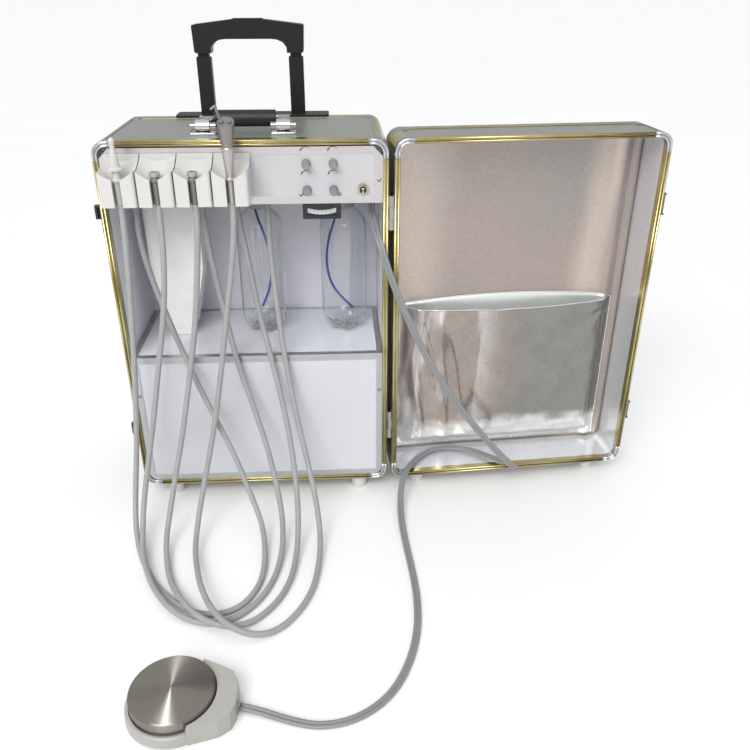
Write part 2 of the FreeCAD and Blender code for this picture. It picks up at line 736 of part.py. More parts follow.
handle_pieces = [
    cylinder("handle_bar", "handle_radius", "X", "-bracket_inner - 5", "bracket_inner + 5", GRIP_LINE)
]
STRAP_END = "bracket_y + handle_arm + 4"
for side, sign in (("left", -1), ("right", 1)):
    barrel, strap, tongue = (
        sorted((f"{sign} * {inner}", f"{sign} * {outer}"), key=worth)
        for inner, outer in (("barrel_inner", "barrel_outer"), ("strap_inner", "strap_outer"),
                             ("bracket_inner", "strap_outer"))
    )
    handle_pieces += [
        cylinder(f"handle_barrel_{side}", "barrel_radius", "X", *barrel, PIVOT),
        box(f"handle_strap_{side}", strap, ("bracket_y", STRAP_END), ("handle_pivot - 2", "handle_pivot + 4")),
        box(f"handle_tongue_{side}", tongue, ("bracket_y + handle_arm - 6", STRAP_END),
            ("handle_pivot - 2", "handle_pivot + 9")),
    ]
handle_bore = cylinder("handle_bore", "handle_pin + pin_play", "X", "-bracket_outer", "bracket_outer", PIVOT)
node("carry_handle", cut("carry_solid", fuse("carry_pieces", *handle_pieces), handle_bore))

# ---------------------------------------------------------------- shelf and lower panel

INSIDE_X = "case_width / 2 - wall"
MOUTH_X = "case_width / 2 - rim_width - 0.2"
MOUTH_LOW = f"{BASE} + rim_width + 0.2"
BOARD_TOP = "shelf_top - edging"
BOARD_LOW = f"{BOARD_TOP} - board"
FRAME_FACE = f"{FRONT} + 1"


def low_corner(middle):
    return middle.z < 100


node("shelf_board", box(
    "shelf", (f"-({MOUTH_X})", MOUTH_X), (f"{FRAME_FACE} + edging", f"{BACK} - wall"), (BOARD_LOW, BOARD_TOP)
))

frame_plate = rounded(
    "frame_plate",
    box("frame_block", (f"-({MOUTH_X})", MOUTH_X), (FRAME_FACE, f"{FRAME_FACE} + edging"),
        (MOUTH_LOW, BOARD_TOP)),
    "Y", "corner_radius - rim_width + 2", low_corner,
)
frame_window = box(
    "frame_window", (f"-({MOUTH_X}) + edge_face", f"{MOUTH_X} - edge_face"),
    (FRAME_FACE, f"{FRAME_FACE} + edging"), (f"{MOUTH_LOW} + edge_face", f"{BOARD_TOP} - edge_face"),
)
EDGE_Z = (BOARD_TOP, "shelf_top")
edge_strips = [
    box("edge_front", (f"-({MOUTH_X})", MOUTH_X), (FRAME_FACE, f"{FRAME_FACE} + 10"), EDGE_Z),
    box("edge_left", (f"-({MOUTH_X})", f"-({MOUTH_X}) + 8"), (FRAME_FACE, f"{BACK} - wall"), EDGE_Z),
    box("edge_right", (f"{MOUTH_X} - 8", MOUTH_X), (FRAME_FACE, f"{BACK} - wall"), EDGE_Z),
    box("edge_back", (f"-({MOUTH_X})", MOUTH_X), (f"{BACK} - wall - 8", f"{BACK} - wall"), EDGE_Z),
]
node("compartment_frame", fuse("frame", cut("frame_ring", frame_plate, frame_window), *edge_strips))

PANEL_Y = (f"{FRAME_FACE} + edging", f"{FRAME_FACE} + edging + 3")
node("lower_panel", rounded(
    "lower_plate", box("lower_block", (f"-({MOUTH_X})", MOUTH_X), PANEL_Y, (MOUTH_LOW, BOARD_LOW)),
    "Y", "corner_radius - rim_width + 2", low_corner,
))

# ---------------------------------------------------------------- control panel

SHEET_Y = (f"{FRONT} + sheet_metal", f"{FRONT} + 2 * sheet_metal")
PLATE_FACE = f"{FRONT} + 0.9"
BEND = 13.8
VALVES = {
    "upper_left": ("knob_left", "knob_row_high"),
    "upper_right": ("knob_right", "knob_row_high"),
    "lower_left": ("knob_left", "knob_row_low"),
    "lower_right": ("knob_right", "knob_row_low"),
}
TOGGLE = ("toggle_x", "toggle_z")


def drilled(name, base, y):
    """The panel openings for four valve stems and the toggle switch."""
    holes = [
        cylinder(f"{name}_stem_{number}", "stem_radius + 0.6", "Y", *y, (x, z))
        for number, (x, z) in enumerate(VALVES.values())
    ]
    return cut(name, base, *holes, cylinder(f"{name}_switch", 6, "Y", *y, TOGGLE))


face = drilled("panel_face", padded(
    "panel_sheet", "XZ_Plane",
    [(f"-({MOUTH_X})", "panel_low"), (MOUTH_X, "panel_low"), (MOUTH_X, f"panel_high - {BEND}"),
     (f"{MOUTH_X} - {BEND}", "panel_high"), (f"-({MOUTH_X}) + {BEND}", "panel_high"),
     (f"-({MOUTH_X})", f"panel_high - {BEND}")],
    *SHEET_Y,
), SHEET_Y)
FLANGE_Z = ("panel_low", "panel_low + sheet_metal")
FLANGE_Y = (SHEET_Y[1], f"{FRONT} + 24")
flanges = [
    box("flange_low_left", (f"-({MOUTH_X})", "gauge_left - 2"), (SHEET_Y[1], f"{FRONT} + 12"), FLANGE_Z),
    box("flange_low_right", ("gauge_right + 2", MOUTH_X), (SHEET_Y[1], f"{FRONT} + 12"), FLANGE_Z),
    box("flange_top", (f"-({MOUTH_X}) + {BEND}", f"{MOUTH_X} - {BEND}"), FLANGE_Y,
        ("panel_high - sheet_metal", "panel_high")),
]
for side, (inner, outer) in {
    "left": (f"-({MOUTH_X}) + sheet_metal", f"-({MOUTH_X})"), "right": (f"{MOUTH_X} - sheet_metal", MOUTH_X),
}.items():
    low, high = (outer, inner) if side == "left" else (inner, outer)
    flanges.append(box(f"flange_{side}", (low, high), FLANGE_Y, ("panel_low", f"panel_high - {BEND}")))
    ear = (f"-({INSIDE_X})", low) if side == "left" else (high, INSIDE_X)
    flanges.append(box(f"ear_{side}", ear, (f"{FRONT} + rim_depth + 1", f"{FRONT} + 24"), ("515", "545")))
node("control_panel", fuse("panel_folded", face, *flanges))

PLATE_Y = (PLATE_FACE, SHEET_Y[0])
node("control_plate", drilled(
    "plate_face", box("plate_block", ("-plate_half", "plate_half"), PLATE_Y, ("plate_low", "plate_high")), PLATE_Y
))

SCREWS = {
    "panel_right": (186.5, 524, SHEET_Y[0]),
    "plate_left": (78, 505, PLATE_FACE),
    "plate_right": (131, 505, PLATE_FACE),
    "frame_right": (187.3, 193, FRAME_FACE),
    "frame_left": (-187.3, 191, FRAME_FACE),
}
SCREW_HEAD = [(0, 0), (3, 0), (2.6, 0.8), (1.4, 1.4), (1.2, 0.9), (0, 0.9)]
node("panel_screws", group("screws", *[
    turned(f"screw_{where}", SCREW_HEAD, x, y, z, "Y_FRONT") for where, (x, z, y) in SCREWS.items()
]))

for where, (x, z) in VALVES.items():
    back = f"{FRONT} + 0.4"
    node(f"knob_{where}", turned(
        f"dial_{where}",
        [(0, "-knob_length"), ("knob_radius - 1.6", "-knob_length"),
         ("knob_radius - 0.6", "0.8 - knob_length"),
         ("knob_radius - 0.5", -2.6), ("knob_radius", -1.8), ("knob_radius", 0), ("stem_radius", 0),
         ("stem_radius", 20), (0, 20)],
        x, back, z, "Y",
    ))

MANIFOLD_Y = (f"{FRONT} + 30", f"{FRONT} + 46")
OUTLETS = {name: points[0 if name == "foot_hose" else -1][0] for name, points in HOSES.items()}
OUTLET_Y = f"{FRONT} + 38"
OUTLET_Z = ("panel_low + 8", "panel_low + 20")
valve_pieces = [
    box("manifold", (f"-({INSIDE_X})", INSIDE_X), MANIFOLD_Y, (OUTLET_Z[1], f"{OUTLET_Z[1]} + 16")),
    box("valve_plate", ("knob_left - 12", "knob_right + 12"), MANIFOLD_Y,
        (f"{OUTLET_Z[1]} - 8", "knob_row_high + 9")),
]
for name, x in OUTLETS.items():
    valve_pieces.append(cylinder(f"nut_{name}", 6, "Z", *OUTLET_Z, (x, OUTLET_Y)))
valve_solid = fuse("valve_solid", *valve_pieces, *[
    cylinder(f"valve_{number}", 8, "Y", SHEET_Y[1], MANIFOLD_Y[0], (x, z))
    for number, (x, z) in enumerate(VALVES.values())
])
node("valve_block", cut("valve_drilled", valve_solid, *[
    cylinder(f"valve_bore_{number}", "stem_radius + axle_play", "Y", SHEET_Y[1], f"{FRONT} + 21", (x, z))
    for number, (x, z) in enumerate(VALVES.values())
]))

LEVER_PIVOT = f"{FRONT} - 2"
LEVER_TILT = 25
LEVER_BALL = 2.6
LEVER_SEAT = 3.2
BUSHING_FRONT = f"{FRONT} - 6"
switch_solid = fuse(
    "switch_solid",
    cylinder("switch_bushing", 5.8, "Y", BUSHING_FRONT, SHEET_Y[1], TOGGLE),
    cylinder("switch_nut", 8, "Y", f"{FRONT} - 1.6", PLATE_FACE, TOGGLE),
    box("switch_body", span("toggle_x", "14"), (SHEET_Y[1], f"{FRONT} + 26"), span("toggle_z", "26")),
)
node("toggle_switch", cut(
    "switch", switch_solid,
    fuse("switch_mouth",
         cone("switch_funnel", 5.0, LEVER_SEAT, "Y", BUSHING_FRONT, LEVER_PIVOT, TOGGLE),
         cylinder("switch_seat", LEVER_SEAT, "Y", LEVER_PIVOT, f"{FRONT} + 2", TOGGLE)),
))
lever_ball = doc.addObject("Part::Sphere", "lever_ball")
bind(lever_ball, Radius=LEVER_BALL)
lever = fuse("lever_solid", lever_ball, cone("lever_stick", 1.5, 2.7, "Z", 0, 17, (0, 0)))
lever.Placement = Placement(
    Vector(worth("toggle_x"), worth(LEVER_PIVOT), worth("toggle_z")), Rotation(Vector(1, 0, 0), 90 + LEVER_TILT)
)
node("toggle_lever", lever)

GAUGE_X = ("gauge_left", "gauge_right")
gauge_body = box("gauge_body", GAUGE_X, (SHEET_Y[1], f"{SHEET_Y[1]} + 29"), ("gauge_low", "gauge_high"))
gauge_window = box(
    "gauge_window", ("gauge_left + 6", "gauge_right - 6"), (SHEET_Y[1], f"{SHEET_Y[1]} + 1.6"),
    ("gauge_low + 4.5", "gauge_low + 16.5"),
)
node("pressure_gauge", cut("gauge", gauge_body, gauge_window))

# ---------------------------------------------------------------- instrument holders

BORE_Y = f"{FRONT} - bore_inset"
HOLDER_FRONT = f"{FRONT} - holder_depth"
SEAT_Z = 534
FUNNEL_SLOPE = 1.24
STATIONS = {
    name: f"holder_first + {number} * holder_pitch"
    for number, name in enumerate(("suction", "handpiece_1", "handpiece_2", "syringe"))
}


def holder(name, x):
    """A white block with a round bore, a hose slot at its front and a bowl that guides the instrument in."""
    side = [
        (HOLDER_FRONT, "holder_low"), (HOLDER_FRONT, "holder_high - 13"),
        (f"{HOLDER_FRONT} + 6", "holder_high - 7.5"), (f"{HOLDER_FRONT} + 17", "holder_high - 2.5"),
        (f"{HOLDER_FRONT} + 26", "holder_high"),
        (PLATE_FACE, "holder_high"), (PLATE_FACE, "holder_low"),
    ]
    block = rounded(
        f"{name}_round",
        padded(f"{name}_block", "YZ_Plane", side, *span(x, "holder_width")), "Z", 4,
        lambda middle: middle.y < worth(HOLDER_FRONT) + 1,
    )
    bowl_high = "holder_high + 4"
    bowl = common(
        f"{name}_bowl",
        cone(f"{name}_funnel", "holder_bore", f"holder_bore + {FUNNEL_SLOPE} * ({bowl_high} - {SEAT_Z})", "Z",
             SEAT_Z, bowl_high, (x, BORE_Y)),
        box(f"{name}_bowl_limit", span(x, "holder_width + 2"), (f"{HOLDER_FRONT} - 1", f"{FRONT} - 4"),
            (SEAT_Z, bowl_high)),
    )
    room = fuse(
        f"{name}_room", bowl,
        cylinder(f"{name}_bore", "holder_bore", "Z", "holder_low - 1", f"{SEAT_Z} + 2", (x, BORE_Y)),
        box(f"{name}_slot", span(x, "11"), (f"{HOLDER_FRONT} - 1", BORE_Y), ("holder_low - 1", f"{SEAT_Z} + 8")),
    )
    return cut(name, block, room)


node("instrument_holders", group("holders", *[holder(f"holder_{name}", x) for name, x in STATIONS.items()]))

# ---------------------------------------------------------------- instruments

SEAT_RING = [(7.0, SEAT_Z + 0.8), (7.0, SEAT_Z + 3)]


def instrument(name, station, outline_points):
    return turned(name, [(0, "instrument_low")] + outline_points, STATIONS[station], BORE_Y, 0)


node("suction_tip", instrument("suction_valve", "suction", [
    (4.9, "instrument_low"), (5.3, 532), *SEAT_RING, (5.5, 539), (5.5, 548), (11, 550), (11, 552),
    (6.2, 554.5), (5.6, 564.5), (2.9, 580), (3.7, 584), (3.9, 587.5), (2.6, 590.5), (0, 591),
]))
for number in (1, 2):
    node(f"handpiece_connector_{number}", instrument(f"connector_{number}", f"handpiece_{number}", [
        (5, "instrument_low"), (5.6, 532), *SEAT_RING, (5.9, 538.5), (6.1, 540.5), (7, 541), (7, 546.5),
        (4.6, 546.5), (4.6, 542.5), (0, 542.5),
    ]))

HEAD_TILT = 23
HEAD_TOP = 609
SYRINGE_X = STATIONS["syringe"]
BUTTON_SPREAD = 5.2


def on_head(item, x_offset, drop):
    """Stands an item on the syringe's slanted top, sunk by drop along the slant's normal."""
    centre = Vector(worth(SYRINGE_X) + x_offset, worth(BORE_Y), HEAD_TOP)
    turn = Rotation(Vector(1, 0, 0), HEAD_TILT)
    item.Placement = Placement(centre + turn.multVec(Vector(0, 0, -drop)), turn)
    return item


handle_core = instrument("syringe_core", "syringe", [
    (4.9, "instrument_low"), (4.9, 531), (5.2, 533), *SEAT_RING, (5.5, 539), (5.85, 549), (8.5, 574), (8.5, 576),
    (7.8, 577.5), (8.0, 580), (11.2, 606), (11.2, 618), (0, 618),
])
head_slant = doc.addObject("Part::Box", "head_slant")
bind(head_slant, Length=60, Width=60, Height=30)
head_slant.Placement = Placement(Vector(-30, -30, 0), Rotation())
slant = on_head(group("slant", head_slant), 0, 0)
button_wells = [
    on_head(group(f"well_{side}", cylinder(f"well_{side}_core", 3.6, "Z", 0, 10, (0, 0))), offset, 4.5)
    for side, offset in (("left", -BUTTON_SPREAD), ("right", BUTTON_SPREAD))
]
NOZZLE = [(-5, 7.5, -5.5), (-13, 8.5, 18), (-17.5, 6.5, 15)]
NOZZLE_RADIUS = 1.7
nozzle_spots = [
    Vector(worth(SYRINGE_X) + x, worth(BORE_Y) + y, HEAD_TOP + z) for x, y, z in NOZZLE
]
nozzle_pieces = []
for number, (start, end) in enumerate(zip(nozzle_spots, nozzle_spots[1:])):
    rod = doc.addObject("Part::Cylinder", f"nozzle_rod_{number}")
    bind(rod, Radius=NOZZLE_RADIUS, Height=round((end - start).Length, 3))
    rod.Placement = Placement(start, Rotation(Vector(0, 0, 1), end - start))
    knee = doc.addObject("Part::Sphere", f"nozzle_knee_{number}")
    bind(knee, Radius=NOZZLE_RADIUS)
    knee.Placement = Placement(end, Rotation())
    nozzle_pieces += [rod, knee]
handle_head = cut("syringe_head", handle_core, slant)
node("syringe_body", fuse("syringe_solid", cut("syringe_wells", handle_head, *button_wells), *nozzle_pieces))
for name, offset in (("water", -BUTTON_SPREAD), ("air", BUTTON_SPREAD)):
    cap = turned(f"button_{name}", [(0, 0), (3.3, 0), (3.3, 3.6), (2.4, 4.4), (0, 4.6)], 0, 0, 0)
    node(f"syringe_button_{name}", on_head(group(f"button_{name}_set", cap), offset, 2.2))

# ---------------------------------------------------------------- bottles

BOTTLE_LOW = 257.8
BOTTLE_OUTSIDE = [
    (0, 3), (13, 2.4), (19, 0), (25, 2.5), (31, 13), ("bottle_radius - 1.5", 26), ("bottle_radius", 42),
    ("bottle_radius", 170), ("bottle_radius - 1.7", 179), (29, 189), (21, 196.5), ("neck_radius", 201),
    ("neck_radius", "neck_top"),
]
BOTTLE_INSIDE = [
    ("neck_radius - bottle_skin", "neck_top"), ("neck_radius - bottle_skin", 200.3), (20.3, 195.5),
    (28, 188.2), ("bottle_radius - 2.9", 178.6), ("bottle_radius - bottle_skin", 169.8),
    ("bottle_radius - bottle_skin", 42), ("bottle_radius - 2.7", 26.4), (29.9, 13.6), (24.2, 3.7), (19, 1.3),
    (13, 3.6), (0, 4.2),
]
BOTTLES = {"water": "bottle_right", "suction": "bottle_left"}
for name, x in BOTTLES.items():
    node(f"{name}_bottle", turned(
        f"{name}_flask", BOTTLE_OUTSIDE + BOTTLE_INSIDE, x, "bottle_y", BOTTLE_LOW
    ))

CAP_Z = (460, 482)
cap_pieces = [
    cylinder(f"cap_{name}", "cap_radius", "Z", *CAP_Z, (x, "bottle_y")) for name, x in BOTTLES.items()
]
cap_pieces.append(box(
    "cap_hanger", ("-35", "172"), ("bottle_y - 13", f"{BACK} - wall"), (CAP_Z[1], CAP_Z[1] + 5)
))
node("bottle_caps", cut("caps", fuse("caps_solid", *cap_pieces), *[
    cylinder(f"cap_bore_{name}", "neck_radius + 0.8", "Z", CAP_Z[0], CAP_Z[1] - 6, (x, "bottle_y"))
    for name, x in BOTTLES.items()
]))

WASTE_FRONT = [
    (-168, 480), (-168, 370), (-147, 266), (-140, 257), (-114, 257), (-106, 268), (-84, 370), (-82, 480),
]
WASTE_SPACE = [
    (-166.5, 481), (-166.5, 370), (-145.6, 266.5), (-139.3, 258.5), (-114.8, 258.5), (-107.4, 268.4),
    (-85.5, 370), (-83.5, 481),
]
waste_outer = rounded("waste_outer", padded("waste_block", "XZ_Plane", WASTE_FRONT, "-12", "43"), "Z", 12)
waste_inner = rounded("waste_inner", padded("waste_space", "XZ_Plane", WASTE_SPACE, "-10.5", "41.5"), "Z", 10.5)
node("waste_bottle", cut("waste_jar", waste_outer, waste_inner))

# ---------------------------------------------------------------- compressor and tank

DECK = f"{BASE} + wall"
MOTOR_AXIS = ("0", f"{DECK} + 8 + motor_radius")
PUMP_X = -33
HEAD_LOW = 190
node("compressor", fuse(
    "compressor_solid",
    cylinder("motor", "motor_radius", "X", -160, -50, MOTOR_AXIS),
    cylinder("crankcase", "motor_radius - 12", "X", -52, -14, MOTOR_AXIS),
    cylinder("pump_cylinder", 21, "Z", f"{DECK} + motor_radius + 20", HEAD_LOW + 2, (PUMP_X, 0)),
    box("pump_head", span(PUMP_X, "48"), span("0", "48"), (HEAD_LOW, HEAD_LOW + 16)),
    *[box(f"compressor_foot_{number}", (x, x + 20), span("0", "84"), (DECK, f"{DECK} + 30"))
      for number, x in enumerate((-150, -80))],
))

TANK_LEFT = 15
TANK_LENGTH = 155
TANK_Y = 10
tank = turned("tank_body", [
    (0, 0), (20, 0), ("tank_radius - 8", 5), ("tank_radius", 16), ("tank_radius", TANK_LENGTH - 16),
    ("tank_radius - 8", TANK_LENGTH - 5), (20, TANK_LENGTH), (0, TANK_LENGTH),
], TANK_LEFT, TANK_Y, f"{DECK} + 10 + tank_radius", "X")
TANK_TOP = f"{DECK} + tank_radius * 2"
node("air_tank", fuse(
    "tank_solid", tank,
    *[box(f"tank_foot_{number}", (x, x + 20), span(TANK_Y, "70"), (DECK, f"{DECK} + 26"))
      for number, x in enumerate((40, 125))],
    cylinder("tank_outlet", 7, "Z", TANK_TOP, f"{TANK_TOP} + 24", (92, TANK_Y)),
))

# ---------------------------------------------------------------- foot control

PEDAL = ("pedal_x", "pedal_y")
pedal_round = turned("pedal_round", [
    (0, 0), ("pedal_radius - 2", 0), ("pedal_radius", 3), ("pedal_radius - 1", "pedal_rim - 2"),
    ("pedal_radius - 3", "pedal_rim"), ("disc_radius + 1", "pedal_rim"), ("disc_radius + 1", 9), (0, 9),
], *PEDAL, 0)
shoulder_plan = [
    ("pedal_x + 24", "pedal_y - 52"), ("pedal_x + 58", "pedal_y - 43"), ("pedal_x + 71", "pedal_y - 34"),
    ("pedal_x + 76", "pedal_y - 20"), ("pedal_x + 76", "pedal_y + 14"), ("pedal_x + 69", "pedal_y + 28"),
    ("pedal_x + 56", "pedal_y + 36"), ("pedal_x + 30", "pedal_y + 49"),
]
shoulder = cut(
    "shoulder", padded("shoulder_block", "XY_Plane", shoulder_plan, "0", "shoulder_height"),
    cylinder("shoulder_gap", "disc_radius + 2", "Z", 9, 40, PEDAL),
)
hose_end, hose_before = (Vector(*HOSES["foot_hose"][spot]) for spot in (-1, -2))
gland = doc.addObject("Part::Cylinder", "pedal_gland")
bind(gland, Radius="foot_hose_radius + 1.2", Height=12)
gland.Placement = Placement(hose_end, Rotation(Vector(0, 0, 1), hose_end - hose_before))
stem_bore = cylinder("pedal_stem_bore", "stem_width + axle_play", "Z", 1.5, 12, PEDAL)
node("pedal_base", cut("pedal_body", fuse("pedal_solid", pedal_round, shoulder, gland), stem_bore))
node("pedal_disk", turned("pedal_plate", [
    (0, 8), ("stem_width", 8), ("stem_width", "disc_low"), ("disc_radius - 1", "disc_low"),
    ("disc_radius", "disc_low + 1"),
    ("disc_radius", "disc_edge - 1.5"), ("disc_radius - 1.5", "disc_edge"), (30, "disc_peak - 2.5"),
    (10, "disc_peak - 0.4"), (0, "disc_peak"),
], *PEDAL, 0))

# ---------------------------------------------------------------- hoses and bottle tubes

ARC_SHARE = 0.45


def tube_path(points):
    """Straight runs joined by tangent arcs, each as wide as the shorter run beside it allows."""
    spots = [Vector(*point) for point in points]
    edges = []
    radii = []
    here = spots[0]
    for before, corner, after in zip(spots, spots[1:], spots[2:]):
        back, ahead = before - corner, after - corner
        reach = ARC_SHARE * min(back.Length, ahead.Length)
        back.normalize()
        ahead.normalize()
        half_turn = (math.pi - back.getAngle(ahead)) / 2
        radius = reach / math.tan(half_turn)
        inward = (back + ahead).normalize()
        middle = corner + inward * (radius / math.cos(half_turn) - radius)
        start, end = corner + back * reach, corner + ahead * reach
        edges.append(Part.makeLine(here, start))
        edges.append(Part.Arc(start, middle, end).toShape())
        radii.append(radius)
        here = end
    edges.append(Part.makeLine(here, spots[-1]))
    return Part.Wire(edges), min(radii)


def tube(name, points, radius):
    path, tightest = tube_path(points)
    section = Part.Wire(Part.makeCircle(radius, Vector(*points[0]), Vector(*points[1]) - Vector(*points[0])))
    solid = path.makePipeShell([section], True, False)
    share = solid.Volume / (math.pi * radius ** 2 * path.Length)
    print(f"{name}: length {path.Length:.0f}, tightest radius {tightest:.1f}, volume share {share:.3f}")
    item = doc.addObject("Part::Feature", name)
    item.Shape = solid
    return item


for name, points in HOSES.items():
    radius = "foot_hose_radius" if name == "foot_hose" else "hose_radius"
    node(name, tube(f"{name}_tube", points, worth(radius)))

BOTTLE_TUBES = [
    [(131.5, 12, 476), (131.5, 12, 463), (123, 11, 438), (113.5, 10, 410), (108, 10, 375), (112, 10, 340),
     (127, 10, 312), (150, 10, 290)],
    [(-1, 11, 476), (-1, 11, 463), (5, 10, 438), (13, 10, 415), (19, 10, 385), (20, 10, 350), (14, 10, 318),
     (2, 10, 295)],
]
node("bottle_tubes", group("dip_tubes", *[
    tube(f"dip_tube_{number}", points, 2) for number, points in enumerate(BOTTLE_TUBES)
]))

# ---------------------------------------------------------------- checks and export

doc.recompute()
for item in doc.Objects:
    if "Invalid" in item.State or "Error" in item.State:
        raise RuntimeError(f"{item.Name} did not compute: {item.State}")
for label, item in nodes.items():
    if item.Label != label or item.Shape.isNull() or not item.Shape.isValid() or not item.Shape.Solids:
        raise RuntimeError(f"{label} has no sound solid")
os.makedirs("parts", exist_ok=True)
for label, item in nodes.items():
    item.Shape.exportStep(f"parts/{label}.step")
print(f"{len(nodes)} nodes written")
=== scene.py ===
import math

import bmesh
import bpy
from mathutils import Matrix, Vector, noise


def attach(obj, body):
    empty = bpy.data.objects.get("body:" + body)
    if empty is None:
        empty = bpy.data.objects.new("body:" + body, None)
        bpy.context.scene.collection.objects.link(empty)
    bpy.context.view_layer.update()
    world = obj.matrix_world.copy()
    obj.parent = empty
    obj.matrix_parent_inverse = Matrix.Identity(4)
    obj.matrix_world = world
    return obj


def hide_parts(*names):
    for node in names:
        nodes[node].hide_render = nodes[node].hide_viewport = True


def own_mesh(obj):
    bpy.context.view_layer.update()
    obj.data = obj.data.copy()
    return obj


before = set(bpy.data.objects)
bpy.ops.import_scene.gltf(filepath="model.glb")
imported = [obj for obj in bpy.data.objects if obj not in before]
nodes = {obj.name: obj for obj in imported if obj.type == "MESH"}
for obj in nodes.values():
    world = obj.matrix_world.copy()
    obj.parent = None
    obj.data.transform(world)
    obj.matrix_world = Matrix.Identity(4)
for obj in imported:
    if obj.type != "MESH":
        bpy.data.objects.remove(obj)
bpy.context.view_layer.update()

MM = 0.001
RIGHT, BACKWARD, UP = Vector((1, 0, 0)), Vector((0, 1, 0)), Vector((0, 0, 1))
CASE_HALF = 0.2  # half the case's width
CASE_FRONT = -0.1  # its front rim
CASE_LOW, CASE_HIGH = 0.025, 0.58  # its underside and its top, over the floor
LID_NEAR, LID_FAR = 0.004, 0.404  # the lid's sides, measured across from the hinge line
HINGE = Vector((0.204, CASE_FRONT, 0))
LID_TURN = math.radians(4.6)
PEDAL_X, PEDAL_Y = -0.08, -0.525  # the middle of the foot control's disc

# ---------------------------------------------------------------- camera


def make_camera():
    data = bpy.data.cameras.new("studio_camera")
    data.lens = 36.79
    data.sensor_width = 36
    data.clip_start = 0.05
    camera = bpy.data.objects.new("studio_camera", data)
    camera.location = (0.12705, -1.16366, 0.77491)
    camera.rotation_euler = (math.radians(62.476), 0, math.radians(-2.887))
    bpy.context.scene.collection.objects.link(camera)
    bpy.context.scene.camera = camera


make_camera()

# ---------------------------------------------------------------- shader writing


class Wire:
    """A shader value with arithmetic: an expression on wires adds its Math nodes."""

    def __init__(self, paint, socket):
        self.paint = paint
        self.socket = socket

    def math(self, operation, *others):
        return self.paint.add("ShaderNodeMath", {"operation": operation}, [self, *others])

    def __add__(self, other):
        return self.math("ADD", other)

    def __mul__(self, other):
        return self.math("MULTIPLY", other)

    def __sub__(self, other):
        return self.math("SUBTRACT", other)

    def __rsub__(self, other):
        return self.paint.add("ShaderNodeMath", {"operation": "SUBTRACT"}, [other, self])

    __radd__ = __add__
    __rmul__ = __mul__


class Paint:
    """One material: a Principled shader and the nodes that feed it."""

    def __init__(self, name, **constant):
        self.material = bpy.data.materials.new(name)
        self.material.use_nodes = True
        self.tree = self.material.node_tree
        self.tree.nodes.clear()
        self.shader = self.tree.nodes.new("ShaderNodeBsdfPrincipled")
        out = self.tree.nodes.new("ShaderNodeOutputMaterial")
        self.tree.links.new(self.shader.outputs[0], out.inputs[0])
        self.place = self.add("ShaderNodeTexCoord", {}, {}, "Object")
        self.set(**constant)

    def add(self, kind, settings, inputs, output=0):
        """A node of a type, with its settings made first, then the values or links of its sockets."""
        node = self.tree.nodes.new(kind)
        for key, value in settings.items():
            setattr(node, key, value)
        pairs = inputs.items() if isinstance(inputs, dict) else enumerate(inputs)
        for key, value in pairs:
            self.feed(node.inputs[key], value)
        return Wire(self, node.outputs[output])

    def feed(self, socket, value):
        if isinstance(value, Wire):
            self.tree.links.new(value.socket, socket)
        elif socket.type == "RGBA" and len(value) == 3:
            socket.default_value = (*value, 1)
        else:
            socket.default_value = value

    def set(self, **sockets):
        """Feeds the Principled shader: Base_Color stands for its socket Base Color."""
        for key, value in sockets.items():
            self.feed(self.shader.inputs[key.replace("_", " ")], value)
        return self

    def axis(self, name, place=None):
        return self.add("ShaderNodeSeparateXYZ", {}, [place or self.place], name)

    def scaled(self, x, y, z, place=None):
        return self.add("ShaderNodeVectorMath", {"operation": "MULTIPLY"},
                        [place or self.place, (x, y, z)])

    def turned(self, angle, centre):
        """The place as it is before a turn about an upright axis."""
        return self.add("ShaderNodeVectorRotate", {"rotation_type": "Z_AXIS"},
                        {"Vector": self.place, "Center": centre, "Angle": angle})

    def noise(self, scale, detail=3.0, place=None, roughness=0.5):
        return self.add("ShaderNodeTexNoise", {}, {"Vector": place or self.place, "Scale": scale,
                        "Detail": detail, "Roughness": roughness})

    def step(self, value, low, high):
        """0 below low, 1 above high, smooth between."""
        return self.add("ShaderNodeMapRange", {"interpolation_type": "SMOOTHSTEP"},
                        {"Value": value, "From Min": low, "From Max": high})

    def mix(self, share, first, second, kind="MIX"):
        return self.add("ShaderNodeMix", {"data_type": "RGBA", "blend_type": kind, "clamp_factor": True},
                        {0: share, 6: first, 7: second}, 2)

    def dimmed(self, colour, share):
        return self.mix(1.0, colour, (share, share, share), "MULTIPLY")

    def waves(self, value, pitch):
        """A wave of -1 to 1 along a length, with one crest for each pitch in metres."""
        return (value * (2 * math.pi / pitch)).math("SINE")

    def bump(self, height, depth):
        return self.set(Normal=self.add("ShaderNodeBump", {}, {"Height": height, "Strength": 1.0,
                                                               "Distance": depth}, "Normal"))


def shade(colour, share):
    return tuple(min(1, c * share) for c in colour)


def mottled(paint, colour, spread, scale, rough):
    """A colour and a roughness that drift a little over the surface."""
    cloud = paint.noise(scale)
    tone = paint.mix(paint.step(cloud, 0.3, 0.7), shade(colour, 1 - spread), shade(colour, 1 + spread))
    paint.set(Base_Color=tone, Roughness=(cloud - 0.5) * 0.06 + rough)


def plastic(name, colour, rough, grain_scale=1800, grain_depth=0.00003, spread=0.04, **constant):
    paint = Paint(name, **constant)
    mottled(paint, colour, spread, 30, rough)
    return paint.bump(paint.noise(grain_scale, 2.0), grain_depth).material


def metal(name, colour, rough, along=(1, 1, 1), grain=900, spread=0.05):
    """A metal with brush marks; along holds a small number for the direction that they run in."""
    paint = Paint(name, Metallic=1.0)
    marks = paint.noise(grain, 3.0, paint.scaled(*along))
    cloud = paint.noise(25)
    tone = paint.mix(paint.step(marks * 0.6 + cloud * 0.4, 0.35, 0.65),
                     shade(colour, 1 - spread), shade(colour, 1 + spread))
    paint.set(Base_Color=tone, Roughness=(marks - 0.5) * 0.2 + rough)
    return paint.bump(marks, 0.000015).material


